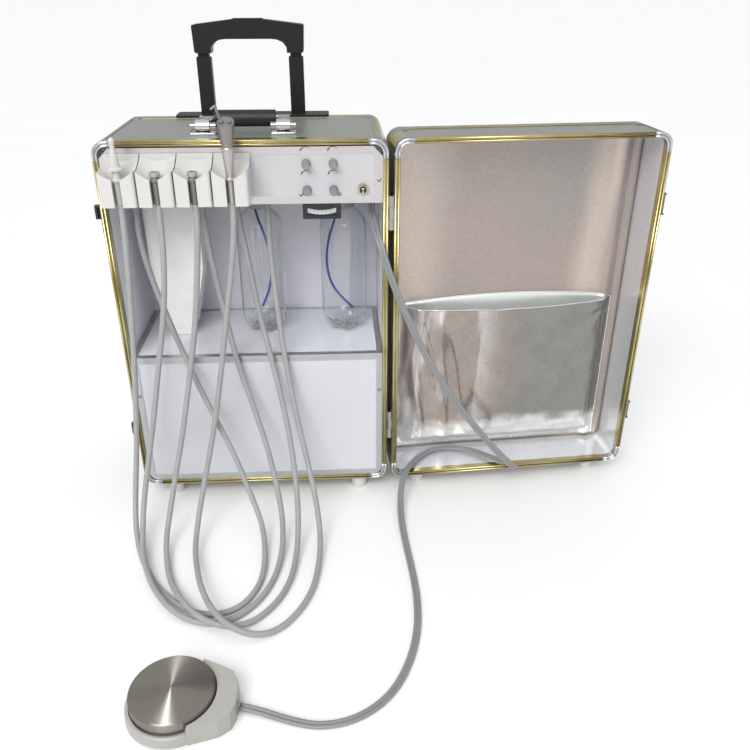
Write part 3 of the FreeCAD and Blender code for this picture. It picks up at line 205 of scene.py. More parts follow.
def assign(material, *pieces):
    for piece in pieces:
        thing = nodes[piece] if isinstance(piece, str) else piece
        thing.data.materials.clear()
        thing.data.materials.append(material)


# ---------------------------------------------------------------- building helpers


def smooth(share):
    """0 below 0, 1 above 1, smooth between."""
    share = min(1, max(0, share))
    return share * share * (3 - 2 * share)


def link(name, data):
    piece = bpy.data.objects.new(name, data)
    bpy.context.scene.collection.objects.link(piece)
    return piece


def finish_mesh(name, mesh, rounded=True):
    bmesh.ops.recalc_face_normals(mesh, faces=mesh.faces)
    data = bpy.data.meshes.new(name)
    mesh.to_mesh(data)
    mesh.free()
    if rounded:
        data.shade_smooth()
    return link(name, data)


def dress(piece, body, replaced=None):
    """The body that carries a piece and the node that it takes the place of."""
    if replaced:
        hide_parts(replaced)
    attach(piece, body)
    return piece


def add_skin(mesh, rings):
    """A closed skin through rings of points, from the first ring to the last."""
    rows = [[mesh.verts.new(point) for point in ring] for ring in rings]
    count = len(rows[0])
    for before, after in zip(rows, rows[1:]):
        for k in range(count):
            mesh.faces.new((before[k], before[(k + 1) % count], after[(k + 1) % count], after[k]))
    mesh.faces.new(rows[0][::-1])
    mesh.faces.new(rows[-1])


def ring(centre, first, second, radius, sides):
    turns = [2 * math.pi * k / sides for k in range(sides)]
    return [centre + (first * math.cos(t) + second * math.sin(t)) * radius for t in turns]


def circle_section(radius, sides=14):
    return [(radius * math.cos(2 * math.pi * k / sides), radius * math.sin(2 * math.pi * k / sides))
            for k in range(sides)]


def add_tube(mesh, line, section, side, level=0.0):
    rings = []
    for number, spot in enumerate(line):
        ahead = line[min(number + 1, len(line) - 1)] - line[max(number - 1, 0)]
        ahead.normalize()
        side = (side - ahead * side.dot(ahead)).normalized()
        across = ahead.cross(UP)
        if across.dot(side) < 0:
            across.negate()
        side = (side + across * level * (1 - smooth(abs(ahead.z) * 1.6))).normalized()
        other = ahead.cross(side)
        rings.append([spot + side * a + other * b for a, b in section])
    add_skin(mesh, rings)


def sweep(name, line, section, side=RIGHT, level=0.0):
    """A closed tube of a section along a line; the section's first axis starts towards side.

    level is how fast that axis turns towards the horizontal where the line runs level. Where the line
    hangs, the axis keeps its way.
    """
    mesh = bmesh.new()
    add_tube(mesh, line, section, side, level)
    return finish_mesh(name, mesh)


def smooth_line(points):
    """Points of the smooth curve that has a route's points as its control points."""
    data = bpy.data.curves.new("route", "CURVE")
    data.dimensions = "3D"
    data.resolution_u = 10
    spline = data.splines.new("NURBS")
    spline.points.add(len(points) - 1)
    for spot, point in zip(spline.points, points):
        spot.co = (*point, 1)
    spline.order_u = 3
    spline.use_endpoint_u = True
    carrier = link("route", data)
    mesh = bpy.data.meshes.new_from_object(carrier)
    line = [vertex.co.copy() for vertex in mesh.vertices]
    bpy.data.objects.remove(carrier)
    bpy.data.meshes.remove(mesh)
    return line


def cloth(name, front, back):
    """A closed sheet between two grids of points."""
    mesh = bmesh.new()
    layers = [[[mesh.verts.new(point) for point in row] for row in grid] for grid in (front, back)]
    rows, columns = len(front), len(front[0])
    for layer in layers:
        for low, high in zip(layer, layer[1:]):
            for j in range(columns - 1):
                mesh.faces.new((low[j], low[j + 1], high[j + 1], high[j]))
    rim = [(0, j) for j in range(columns)] + [(i, columns - 1) for i in range(1, rows)]
    rim += [(rows - 1, j) for j in range(columns - 2, -1, -1)]
    rim += [(i, 0) for i in range(rows - 2, 0, -1)]
    for (i, j), (m, n) in zip(rim, rim[1:] + rim[:1]):
        mesh.faces.new((layers[0][i][j], layers[0][m][n], layers[1][m][n], layers[1][i][j]))
    return finish_mesh(name, mesh)


def crease(piece, degrees=35):
    piece.data.shade_smooth()
    piece.data.set_sharp_from_angle(angle=math.radians(degrees))
    return piece


# ---------------------------------------------------------------- hoses

HOSE_WIDTH = 8.5 * MM
FOOT_HOSE_WIDTH = 9 * MM
ROUTES = {
    "hose_suction": [
        (-0.1605, -0.136, 0.504), (-0.1605, -0.136, 0.475), (-0.163, -0.14, 0.418), (-0.17, -0.142, 0.32),
        (-0.18, -0.146, 0.215), (-0.189, -0.152, 0.13), (-0.196, -0.175, 0.06), (-0.193, -0.21, 0.022),
        (-0.18, -0.25, 0.006), (-0.16, -0.29, 0.0045), (-0.134, -0.332, 0.0045), (-0.1, -0.364, 0.0045),
        (-0.065, -0.381, 0.0045), (-0.031, -0.377, 0.0045), (-0.006, -0.354, 0.0045),
        (0.009, -0.31, 0.0045), (0.008, -0.255, 0.007), (0, -0.208, 0.023), (-0.02, -0.177, 0.062),
        (-0.043, -0.148, 0.115), (-0.072, -0.13, 0.175), (-0.108, -0.111, 0.265), (-0.136, -0.092, 0.345),
        (-0.152, -0.078, 0.395), (-0.161, -0.066, 0.44), (-0.161, -0.062, 0.475), (-0.161, -0.062, 0.5),
    ],
    "hose_handpiece_1": [
        (-0.1113, -0.136, 0.504), (-0.1113, -0.136, 0.475), (-0.113, -0.14, 0.425), (-0.121, -0.142, 0.355),
        (-0.138, -0.144, 0.275), (-0.156, -0.15, 0.185), (-0.171, -0.162, 0.115), (-0.181, -0.188, 0.055),
        (-0.18, -0.222, 0.023), (-0.172, -0.262, 0.014), (-0.157, -0.305, 0.014), (-0.136, -0.345, 0.014),
        (-0.11, -0.377, 0.012), (-0.08, -0.393, 0.006), (-0.047, -0.398, 0.0045), (-0.016, -0.384, 0.0045),
        (0.01, -0.353, 0.0045), (0.027, -0.308, 0.0045), (0.034, -0.255, 0.007), (0.032, -0.203, 0.027),
        (0.022, -0.165, 0.065), (0.009, -0.139, 0.118), (-0.009, -0.122, 0.18), (-0.029, -0.107, 0.245),
        (-0.042, -0.093, 0.31), (-0.054, -0.08, 0.375), (-0.063, -0.068, 0.43), (-0.067, -0.062, 0.475),
        (-0.067, -0.062, 0.5),
    ],
    "hose_handpiece_2": [
        (-0.0621, -0.136, 0.504), (-0.0621, -0.136, 0.475), (-0.067, -0.14, 0.425), (-0.078, -0.142, 0.34),
        (-0.097, -0.145, 0.245), (-0.116, -0.152, 0.155), (-0.13, -0.167, 0.097), (-0.14, -0.195, 0.045),
        (-0.144, -0.23, 0.016), (-0.136, -0.272, 0.007), (-0.123, -0.315, 0.007), (-0.103, -0.354, 0.013),
        (-0.08, -0.385, 0.015), (-0.054, -0.405, 0.015), (-0.026, -0.41, 0.011), (0.003, -0.397, 0.005),
        (0.031, -0.364, 0.0045), (0.049, -0.32, 0.0045), (0.056, -0.263, 0.008), (0.057, -0.208, 0.034),
        (0.053, -0.17, 0.078), (0.046, -0.142, 0.132), (0.034, -0.12, 0.2), (0.02, -0.105, 0.265),
        (0.006, -0.091, 0.33), (-0.004, -0.077, 0.395), (-0.012, -0.067, 0.44), (-0.017, -0.062, 0.475),
        (-0.017, -0.062, 0.5),
    ],
    "hose_syringe": [
        (-0.0129, -0.136, 0.504), (-0.0129, -0.136, 0.475), (-0.02, -0.14, 0.42), (-0.033, -0.142, 0.35),
        (-0.047, -0.145, 0.27), (-0.063, -0.149, 0.185), (-0.079, -0.16, 0.115), (-0.094, -0.185, 0.052),
        (-0.099, -0.22, 0.02), (-0.096, -0.26, 0.012), (-0.086, -0.302, 0.016), (-0.074, -0.345, 0.023),
        (-0.056, -0.385, 0.024), (-0.03, -0.418, 0.023), (0.003, -0.428, 0.012), (0.035, -0.415, 0.0045),
        (0.062, -0.383, 0.0045), (0.081, -0.34, 0.0045), (0.089, -0.288, 0.005), (0.091, -0.235, 0.017),
        (0.084, -0.19, 0.052), (0.072, -0.157, 0.1), (0.059, -0.133, 0.155), (0.048, -0.115, 0.22),
        (0.039, -0.101, 0.285), (0.033, -0.087, 0.35), (0.028, -0.076, 0.41), (0.027, -0.066, 0.45),
        (0.027, -0.062, 0.475), (0.027, -0.062, 0.5),
    ],
    "foot_hose": [
        (0.177, -0.062, 0.5), (0.177, -0.062, 0.48), (0.179, -0.076, 0.462), (0.184, -0.097, 0.446),
        (0.191, -0.113, 0.424), (0.201, -0.121, 0.393), (0.215, -0.124, 0.356), (0.231, -0.124, 0.318),
        (0.253, -0.126, 0.27), (0.29, -0.127, 0.205), (0.33, -0.126, 0.148), (0.365, -0.124, 0.102),
        (0.393, -0.122, 0.07), (0.412, -0.117, 0.049), (0.418, -0.105, 0.04), (0.413, -0.093, 0.039),
        (0.399, -0.083, 0.04), (0.379, -0.065, 0.039), (0.352, -0.042, 0.038), (0.315, -0.03, 0.037),
        (0.283, -0.036, 0.037), (0.259, -0.057, 0.037), (0.243, -0.082, 0.039), (0.231, -0.105, 0.038),
        (0.223, -0.126, 0.025), (0.219, -0.155, 0.011), (0.218, -0.2, 0.007), (0.221, -0.25, 0.0045),
        (0.225, -0.305, 0.0045), (0.227, -0.36, 0.0045), (0.222, -0.42, 0.0045), (0.206, -0.475, 0.0045),
        (0.18, -0.522, 0.0045), (0.14, -0.553, 0.0045), (0.095, -0.562, 0.0045), (0.055, -0.551, 0.005),
        (0.022, -0.538, 0.007), (-0.001, -0.532, 0.008),
    ],
}
HOSE_ENDS = {
    "hose_suction": ("suction_tip", "tool"),
    "hose_handpiece_1": ("handpiece_connector_1", "connector"),
    "hose_handpiece_2": ("handpiece_connector_2", "connector"),
    "hose_syringe": ("syringe_body", "tool"),
    "foot_hose": ("pedal_base", "fitting"),
}
SETTLE = 1.95 * MM
SETTLE_FROM, SETTLE_OVER = 0.028, 0.018  # the height where it begins to sink, and how far down it takes


def twin_section(width):
    """Two tubes side by side with a groove where they are joined."""
    reach, radius = width * 0.26, width * 0.24
    points = []
    for centre, start in ((reach, -155), (-reach, 25)):
        for turn in range(0, 311, 31):
            angle = math.radians(start + turn)
            points.append((centre + radius * math.cos(angle), radius * math.sin(angle)))
    return points


def settle(line):
    """The foot hose is half as thick as wide, so its line sinks where it comes down to the floor."""
    return [spot - UP * SETTLE * smooth((SETTLE_FROM - spot.z) / SETTLE_OVER) for spot in line]


DISC_RADIUS = 0.0492
DISC_EDGE, DISC_RISE = 0.0330, 0.0038  # height of the coned face's edge, and of its middle above that
DISC_RINGS = 30
DISC_SIDES = 144


def make_pedal_disc():
    """The foot control's disc: a shallow turned cone with a rolled edge, on its stem."""
    profile = [(0.0055, 0.0085), (0.0058, 0.02), (0.0495, 0.02), (0.0504, 0.0208), (0.0505, 0.0312),
               (0.0501, 0.0323), (DISC_RADIUS, DISC_EDGE)]
    for share in range(1, DISC_RINGS):
        radius = DISC_RADIUS * (1 - share / DISC_RINGS)
        profile.append((radius, DISC_EDGE + DISC_RISE * (1 - (radius / DISC_RADIUS) ** 1.3)))
    profile.append((0.0003, DISC_EDGE + DISC_RISE))
    mesh = bmesh.new()
    add_skin(mesh, [ring(Vector((PEDAL_X, PEDAL_Y, z)), RIGHT, BACKWARD, radius, DISC_SIDES)
                    for radius, z in profile])
    return dress(crease(finish_mesh("pedal_disc_plate", mesh), 40), "pedal", "pedal_disk")


pedal_disc = make_pedal_disc()


def make_hoses():
    made = {}
    for name, points in ROUTES.items():
        line = smooth_line(points)
        twin = name == "foot_hose"
        width = FOOT_HOSE_WIDTH if twin else HOSE_WIDTH
        if twin:
            piece = sweep("foot_tube", settle(line), twin_section(width * 1.15), level=0.2)
        else:
            piece = sweep(name.replace("hose", "tube"), line, circle_section(width / 2))
            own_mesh(piece)
        made[name] = dress(piece, "case", name)
        node, far_end = HOSE_ENDS[name]
        carried = [nodes[node]] + ([pedal_disc] if twin else [])
    return made


hoses = make_hoses()

# ---------------------------------------------------------------- bottle dip tubes

DIP_RADIUS = 0.002
DIP_TUBES = [
    [(0.1315, 0.012, 0.476), (0.1315, 0.012, 0.463), (0.123, 0.011, 0.438), (0.1135, 0.01, 0.41),
     (0.108, 0.01, 0.375), (0.112, 0.01, 0.34), (0.127, 0.01, 0.312), (0.15, 0.01, 0.29)],
    [(-0.001, 0.011, 0.476), (-0.001, 0.011, 0.463), (0.005, 0.01, 0.438), (0.013, 0.01, 0.415),
     (0.019, 0.01, 0.385), (0.02, 0.01, 0.35), (0.014, 0.01, 0.318), (0.002, 0.01, 0.295)],
]


def make_dip_tube(number, points):
    piece = sweep(f"dip_tube_{number}", smooth_line(points), circle_section(DIP_RADIUS, 10))
    return dress(piece, "case", "bottle_tubes")


dip_tubes = [make_dip_tube(number, points) for number, points in enumerate(DIP_TUBES)]

# ---------------------------------------------------------------- lid lining and pocket


def lid_spot(across, depth, height):
    """A place in the open lid: across from the hinge line, depth behind the rim, height over the floor."""
    return Vector((
        HINGE.x + across * math.cos(LID_TURN) - depth * math.sin(LID_TURN),
        HINGE.y + across * math.sin(LID_TURN) + depth * math.cos(LID_TURN),
        height,
    ))


LINING_LEFT, LINING_RIGHT = 0.012, 0.396
LINING_LOW, LINING_HIGH = 0.033, 0.572
LINING_FACE = 0.0775
LINING_CORNER = 0.012
SEAM = 0.384
ROLL, ROLL_PLACE, ROLL_WIDTH = 0.0045, 0.371, 0.0085  # the raised fold beside the seam
STITCH, STITCH_PITCH = 0.0032, 0.0052


def lining_depth(across, height):
    """Depth of the lining's face: it rolls forward before the seam and ripples a little."""
    roll = ROLL * math.exp(-(((across - ROLL_PLACE) / ROLL_WIDTH) ** 2))
    ripple = noise.fractal(Vector((across * 9, height * 7, 0.4)), 1.0, 2.0, 3)
    flange = 0.0028 * smooth((across - SEAM) / 0.006)
    return LINING_FACE - roll - flange - 0.0006 * ripple


def make_lining():
    columns, rows = 97, 109
    front = []
    for i in range(rows):
        height = LINING_LOW + (LINING_HIGH - LINING_LOW) * i / (rows - 1)
        reach = min(height - LINING_LOW, LINING_HIGH - height, LINING_CORNER)
        inset = LINING_CORNER - math.sqrt(LINING_CORNER ** 2 - (LINING_CORNER - reach) ** 2)
        left, right = LINING_LEFT + inset, LINING_RIGHT - inset
        spots = [left + (right - left) * j / (columns - 1) for j in range(columns)]
        front.append([(across, height) for across in spots])
    piece = cloth(
        "lid_lining_cloth",
        [[lid_spot(a, lining_depth(a, h), h) for a, h in row] for row in front],
        [[lid_spot(a, LINING_FACE + 0.0012, h) for a, h in row] for row in front],
    )
    return dress(piece, "lid", "lid_lining")


def make_seam_stitches():
    """A row of short thread stitches along the lining's seam."""
    mesh = bmesh.new()
    height = LINING_LOW + 0.014
    while height < LINING_HIGH - 0.014:
        depth = lining_depth(SEAM - 0.001, height) - 0.0002
        steps = [(0, 0.3), (0.0004, 0.9), (STITCH - 0.0004, 0.9), (STITCH, 0.3)]
        along = lid_spot(SEAM, depth, height) - lid_spot(SEAM - 1, depth, height)
        add_skin(mesh, [ring(lid_spot(SEAM - 0.001, depth, height + up), along,
                             Vector((-along.y, along.x, 0)), 0.00045 * wide, 6) for up, wide in steps])
        height += STITCH_PITCH
    return dress(finish_mesh("lining_stitches", mesh), "lid")


POCKET_LEFT, POCKET_RIGHT = 0.024, 0.381
POCKET_LOW, POCKET_HIGH = 0.0405, 0.306
POCKET_BACK = 0.0768
FILM = 0.0008


def pocket_edges(across, height):
    """How full the pocket stands out from its seams: 0 on them, 1 away from them."""
    left = smooth((across - POCKET_LEFT) / 0.03)
    right = smooth((POCKET_RIGHT - across) / 0.021)
    low = smooth((height - POCKET_LOW) / 0.022)
    return left * right * low


POCKET_FOLDS = [  # across at the mouth, across at the foot, width, height, sway
    (0.036, 0.030, 0.0045, 0.0055, 0.005),
    (0.050, 0.058, 0.0060, 0.0060, 0.007),
    (0.066, 0.112, 0.0085, 0.0050, 0.004),
    (0.100, 0.150, 0.0130, 0.0032, 0.006),
]


def long_folds(across, height):
    """Soft upright folds where the film is bunched towards the left."""
    down = (POCKET_HIGH - height) / (POCKET_HIGH - POCKET_LOW)
    total = 0.0
    for number, (top, foot, width, depth, sway) in enumerate(POCKET_FOLDS):
        middle = top + (foot - top) * down + sway * math.sin(down * 7 + number * 1.9)
        fullness = 0.4 + 0.6 * math.sin(math.pi * down)
        total += depth * math.exp(-(((across - middle) / width) ** 2)) * fullness
    return total


def pocket_crumple(across, height):
    """Dents and folds of the film, deeper on the folded left, along the foot and in the lower corners."""
    dents = noise.fractal(Vector((across * 7, height * 5, 3.1)), 1.0, 2.0, 2) * 0.0026
    upright = noise.noise(Vector((across * 78, height * 7, 1.7)))
    folds = upright * 0.005 * math.exp(-(across - POCKET_LEFT) / 0.042)
    folds += long_folds(across, height)
    level = noise.noise(Vector((across * 22, height * 75, 4.4)))
    folds += level * 0.0042 * math.exp(-(height - POCKET_LOW) / 0.02)
    pucker = noise.noise(Vector((across * 110, height * 110, 6.2)))
    puckers = 0.0
    for corner in (POCKET_LEFT, POCKET_RIGHT):
        away = math.hypot(across - corner, (height - POCKET_LOW) * 1.3)
        puckers += pucker * 0.0045 * math.exp(-away / 0.03)
        puckers += corner_fan(across - corner, height - POCKET_HIGH)
    return dents + folds + puckers


def corner_fan(across, height):
    """Pleats that spread down and inwards from an end of the mouth."""
    away = math.hypot(across, height)
    turn = math.atan2(-height, abs(across) + 0.001)
    return 0.0032 * math.cos(turn * 13) * math.exp(-away / 0.022) * smooth(away / 0.008)


def pocket_depth(across, height):
    side = (across - POCKET_LEFT) / (POCKET_RIGHT - POCKET_LEFT)
    up = (height - POCKET_LOW) / (POCKET_HIGH - POCKET_LOW)
    bow = math.sin(math.pi * min(1, max(0, side)))
    full = 0.0145 + 0.0085 * bow ** 0.7 * smooth((up - 0.45) / 0.55)
    edges = pocket_edges(across, height)
    depth = POCKET_BACK - full * edges - pocket_crumple(across, height) * edges ** 0.5
    return min(depth, lining_depth(across, height) - 2 * FILM)


def hem_height(across):
    """The mouth's front edge sags between its ends."""
    side = (across - POCKET_LEFT) / (POCKET_RIGHT - POCKET_LEFT)
    waver = 0.001 * noise.noise(Vector((across * 30, 0, 5)))
    return POCKET_HIGH - 0.0085 * math.sin(math.pi * side) ** 0.8 + waver


def make_pocket():
    columns, rows = 131, 97
    front, back = [], []
    for i in range(rows):
        up = i / (rows - 1)
        row = []
        for j in range(columns):
            across = POCKET_LEFT + (POCKET_RIGHT - POCKET_LEFT) * j / (columns - 1)
            row.append((across, POCKET_LOW + (hem_height(across) - POCKET_LOW) * up))
        front.append([lid_spot(a, pocket_depth(a, h), h) for a, h in row])
        back.append([lid_spot(a, pocket_depth(a, h) + FILM, h) for a, h in row])
    panel = cloth("pocket_front_film", front, back)
    hem = sweep("pocket_hem", front[-1], circle_section(0.0015, 8), UP)
    down_left, along_low, up_right = [row[0] for row in front[::-1]], front[0], [row[-1] for row in front]
    piping = sweep("pocket_piping", down_left[:-1] + along_low[:-1] + up_right, circle_section(0.0013, 8),
                   BACKWARD)
    return panel, hem, piping


def make_pocket_back():
    """The inner film of the pocket: its upper edge bows over the mouth."""
    columns, rows = 81, 41
    front, back = [], []
    for i in range(rows):
        up = i / (rows - 1)
        line = []
        for j in range(columns):
            across = POCKET_LEFT + 0.004 + (POCKET_RIGHT - POCKET_LEFT - 0.014) * j / (columns - 1)
            top = POCKET_HIGH + 0.001 + 0.011 * math.sin(math.pi * j / (columns - 1)) ** 0.8
            line.append((across, POCKET_LOW + 0.01 + (top - POCKET_LOW - 0.01) * up))
        front.append([lid_spot(a, lining_depth(a, h) - 0.0013, h) for a, h in line])
        back.append([lid_spot(a, lining_depth(a, h) - 0.0005, h) for a, h in line])
    panel = cloth("pocket_back_film", front, back)
    hem = sweep("pocket_back_hem", front[-1], circle_section(0.0009, 8), UP)
    return panel, hem


lining = make_lining()
stitches = make_seam_stitches()
pocket, pocket_hem, pocket_piping = make_pocket()
pocket_back, back_hem = make_pocket_back()
for piece in (pocket, pocket_hem, pocket_piping, pocket_back, back_hem):
    dress(piece, "lid", "lid_pocket")

# ---------------------------------------------------------------- knobs, arcs and gauge scale

KNOBS = {"upper_left": (0.0865, 0.5475), "upper_right": (0.1235, 0.5475),
         "lower_left": (0.0865, 0.5115), "lower_right": (0.1235, 0.5115)}
KNOB_SKIRT = -0.0998
FLUTES = 20
ARC_RADIUS = 0.0078
ARC_START, ARC_END = 172, 36  # degrees round the knob, from the arrow head to the thin end
ARC_WIDE, ARC_NARROW, ARC_HEAD = 0.0018, 0.0006, 0.0034


def make_knob(where, x, z):
    """A fluted grip with a plain skirt and a slightly hollow end."""
    steps = [(0.0, 0.003), (0.0, 0.0063), (-0.0018, 0.0063), (-0.0024, 0.0059), (-0.0135, 0.0056),
             (-0.0146, 0.0051), (-0.0149, 0.0046), (-0.0148, 0.004), (-0.0145, 0.0015)]
    rings = []
    for forward, radius in steps:
        depth = 0.045 if -0.0147 < forward < -0.002 else 0
        spots = []
        for k in range(FLUTES * 6):
            turn = 2 * math.pi * k / (FLUTES * 6)
            reach = radius * (1 - depth * (0.5 + 0.5 * math.cos(FLUTES * turn)) ** 2)
            spots.append(Vector((x + reach * math.cos(turn), KNOB_SKIRT + forward,
                                 z + reach * math.sin(turn))))
        rings.append(spots)
    mesh = bmesh.new()
    add_skin(mesh, rings)
    piece = crease(finish_mesh(f"fluted_knob_{where}", mesh))
    return dress(piece, f"dial_{where}", f"knob_{where}")


def add_arc(mesh, x, y, z):
    """A flat tapering arc with an arrow head at its wide end, printed on a face that looks to -Y."""
    steps = 20
    rings = []
    for k in range(steps + 1):
        share = k / steps
        turn = math.radians(ARC_START + (ARC_END - ARC_START) * share)
        half = (ARC_WIDE + (ARC_NARROW - ARC_WIDE) * share) / 2
        if share < 0.25:
            half = ARC_HEAD / 2 * (share / 0.25) ** 1.2 + 0.00008
        outward = Vector((math.cos(turn), 0, math.sin(turn)))
        centre = Vector((x, y, z)) + outward * ARC_RADIUS
        lift = Vector((0, -0.00006, 0))
        rings.append([centre - outward * half + lift, centre + outward * half + lift,
                      centre + outward * half - lift, centre - outward * half - lift])
    add_skin(mesh, rings)


def make_arcs():
    mesh = bmesh.new()
    for where, (x, z) in KNOBS.items():
        face, rise = (-0.0985, 0.0143) if where.startswith("upper") else (-0.0991, 0.0186)
        add_arc(mesh, x, face, z + rise)
    return dress(finish_mesh("turning_arcs", mesh, rounded=False), "case")


def make_gauge_scale():
    """The pale curved scale band behind the gauge's window, and its black ticks."""
    left, right, face = 0.0855, 0.1265, -0.0957
    middle, half = (left + right) / 2, (right - left) / 2
    band, ticks = bmesh.new(), bmesh.new()

    def edge(share, level):
        """A place on the band: share from -1 to 1 across it, level from 0 to 1 up it."""
        sag = 0.003 * (1 - share * share)
        return Vector((middle + half * share * 0.97, face - 0.0008 * (1 - share * share),
                       0.4788 + 0.006 * level - sag))

    steps = 28
    rings = []
    for k in range(steps + 1):
        share = -1 + 2 * k / steps
        low, high = edge(share, 0), edge(share, 1)
        thick = Vector((0, 0.0006, 0))
        rings.append([low, high, high + thick, low + thick])
    add_skin(band, rings)
    for k in range(25):
        share = -0.86 + 1.72 * k / 24
        long = 0.75 if k % 4 == 0 else 0.4
        wide = Vector((0.00022 if k % 4 == 0 else 0.00012, 0, 0))
        top, low = edge(share, 0.93), edge(share, 0.93 - long)
        lift, sink = Vector((0, -0.0001, 0)), Vector((0, 0.0002, 0))
        add_skin(ticks, [[low - wide + lift, low + wide + lift, low + wide + sink, low - wide + sink],
                         [top - wide + lift, top + wide + lift, top + wide + sink, top - wide + sink]])
    return [dress(finish_mesh(name, mesh, rounded=False), "case")
            for name, mesh in (("gauge_band", band), ("gauge_ticks", ticks))]


knobs = [make_knob(where, x, z) for where, (x, z) in KNOBS.items()]
arcs = make_arcs()
gauge_band, gauge_ticks = make_gauge_scale()

# ---------------------------------------------------------------- bottles

BOTTLE_WALL = [
    (0.0, 3.0), (6, 3.2), (13, 2.4), (19, 0), (25, 2.5), (29, 8), (31.5, 14), (33.6, 20), (35, 26), (36, 34),
    (36.5, 42), (36.5, 60), (36.5, 90), (36.5, 120), (36.5, 150), (36.5, 170), (34.8, 179), (32.4, 184),
    (29, 189), (25, 192.8), (21, 196.5), (15, 201), (15, 216),
]
BOTTLE_SKIN = 0.0011
BOTTLE_STANDS = {"water_bottle": (0.136, "right_bottle"), "suction_bottle": (0.0055, "left_bottle")}
BOTTLE_Y = 0.013
BOTTLE_LOW = 0.2578
BOTTLE_SIDES = 90


def flask_point(radius, height, turn):
    """A point of the flask: five petals and a soft twist at its foot, small flutes on its shoulder."""
    foot = smooth(1 - height / 0.046) * smooth(radius / 0.02)
    wave = math.cos(5 * (turn + height * 18))
    petal = 1 + 0.055 * foot * wave
    crumple = 0.02 * foot * math.sin(13 * turn + height * 260)
    shoulder = smooth((height - 0.172) / 0.012) * smooth((0.2 - height) / 0.008)
    flute = 0.022 * shoulder * math.cos(18 * turn)
    reach = radius * (petal + crumple + flute)
    lift = 0.0065 * foot * (0.5 - 0.5 * wave) * smooth((0.034 - radius) / 0.01)
    return reach * math.cos(turn), reach * math.sin(turn), height + lift


def make_flask(node):
    x, body = BOTTLE_STANDS[node]
    outside = [(r * MM, h * MM) for r, h in BOTTLE_WALL]
    inside = []
    for number, (radius, height) in enumerate(outside):
        before, after = outside[max(number - 1, 0)], outside[min(number + 1, len(outside) - 1)]
        slope = Vector((after[0] - before[0], after[1] - before[1])).normalized()
        inside.append((max(0.0, radius - slope.y * BOTTLE_SKIN), height + slope.x * BOTTLE_SKIN))
    inside[-1] = (inside[-1][0], outside[-1][1])
    rings = []
    for radius, height in outside + inside[::-1]:
        spots = [flask_point(max(radius, 0.0004), height, 2 * math.pi * k / BOTTLE_SIDES)
                 for k in range(BOTTLE_SIDES)]
        rings.append([Vector((x + a, BOTTLE_Y + b, BOTTLE_LOW + h)) for a, b, h in spots])
    mesh = bmesh.new()
    add_skin(mesh, rings)
    return dress(finish_mesh(node.replace("bottle", "flask"), mesh), body, node)


flasks = [make_flask(node) for node in BOTTLE_STANDS]

# ---------------------------------------------------------------- ribs of the front rims

RIM_CORNER = 0.02
CORNER_LEG = 0.028
RIB_RADIUS = 0.0017
RIB_INSETS = (0.0018, 0.0064)


def corner_arc(centre, radius, start, steps=8):
    """Points of a quarter turn in a plane, beginning at an angle in quarter turns."""
    turns = [math.pi / 2 * (start + k / steps) for k in range(steps + 1)]
    return [(centre[0] + radius * math.cos(turn), centre[1] + radius * math.sin(turn)) for turn in turns]


def rim_corners(left, right, low, high, inset):
    """A rib's line round each corner of a rim, with the straight ends that the chrome corner covers."""
    centres = [(right - RIM_CORNER, high - RIM_CORNER), (left + RIM_CORNER, high - RIM_CORNER),
               (left + RIM_CORNER, low + RIM_CORNER), (right - RIM_CORNER, low + RIM_CORNER)]
    lead = CORNER_LEG - RIM_CORNER
    corners = []
    for number, centre in enumerate(centres):
        arc = corner_arc(centre, RIM_CORNER - inset, number)
        back = math.pi / 2 * number - math.pi / 2
        ahead = math.pi / 2 * number + math.pi
        start = (arc[0][0] + lead * math.cos(back), arc[0][1] + lead * math.sin(back))
        end = (arc[-1][0] + lead * math.cos(ahead), arc[-1][1] + lead * math.sin(ahead))
        corners.append([start] + arc + [end])
    return corners


def make_ribs(body, left, right, spot):
    """Rounded ribs along a shell's front rim: gold on the straight bars, chrome round the corners."""
    gold_ribs, chrome_ribs = bmesh.new(), bmesh.new()
    section = circle_section(RIB_RADIUS, 12)
    for inset in RIB_INSETS:
        corners = rim_corners(left, right, CASE_LOW, CASE_HIGH, inset)
        for corner, following in zip(corners, corners[1:] + corners[:1]):
            add_tube(chrome_ribs, [spot(*place) for place in corner], section, BACKWARD)
            add_tube(gold_ribs, [spot(*corner[-1]), spot(*following[0])], section, BACKWARD)
    return [dress(finish_mesh(f"{body}_gold_ribs", gold_ribs), body),
            dress(finish_mesh(f"{body}_chrome_ribs", chrome_ribs), body)]


case_gold_ribs, case_chrome_ribs = make_ribs(
    "case", -CASE_HALF, CASE_HALF, lambda x, z: Vector((x, CASE_FRONT, z)))
lid_gold_ribs, lid_chrome_ribs = make_ribs(
    "lid", LID_NEAR, LID_FAR, lambda across, z: lid_spot(across, 0, z))

# ---------------------------------------------------------------- frames of the handle brackets

FRAME_INNER, FRAME_OUTER = 0.0385, 0.0725
FRAME_FRONT, FRAME_REAR = -0.0622, -0.0368
FRAME_HEIGHT = 0.5813
FRAME_BEND = 0.0015


def make_bracket_frames():
    """The raised rim and the cross bar on each bracket plate."""
    mesh = bmesh.new()
    section = circle_section(0.0011, 8)
    front, rear, bend = FRAME_FRONT, FRAME_REAR, FRAME_BEND
    for sign in (-1, 1):
        inner, outer = sorted((sign * FRAME_INNER, sign * FRAME_OUTER))
        loop = []
        corners = ((outer, rear), (inner, rear), (inner, front), (outer, front))
        for number, (x, y) in enumerate(corners):
            inward = (x - bend if x == outer else x + bend, y - bend if y == rear else y + bend)
            loop += corner_arc(inward, bend, number, 4)
        loop.append(loop[0])
        bar = front + 0.0048
        for line in (loop, [(inner, bar), (outer, bar)]):
            add_tube(mesh, [Vector((x, y, FRAME_HEIGHT)) for x, y in line], section, UP)
    return dress(finish_mesh("bracket_frames", mesh), "case")


bracket_frames = make_bracket_frames()

# ---------------------------------------------------------------- rivets on the corners

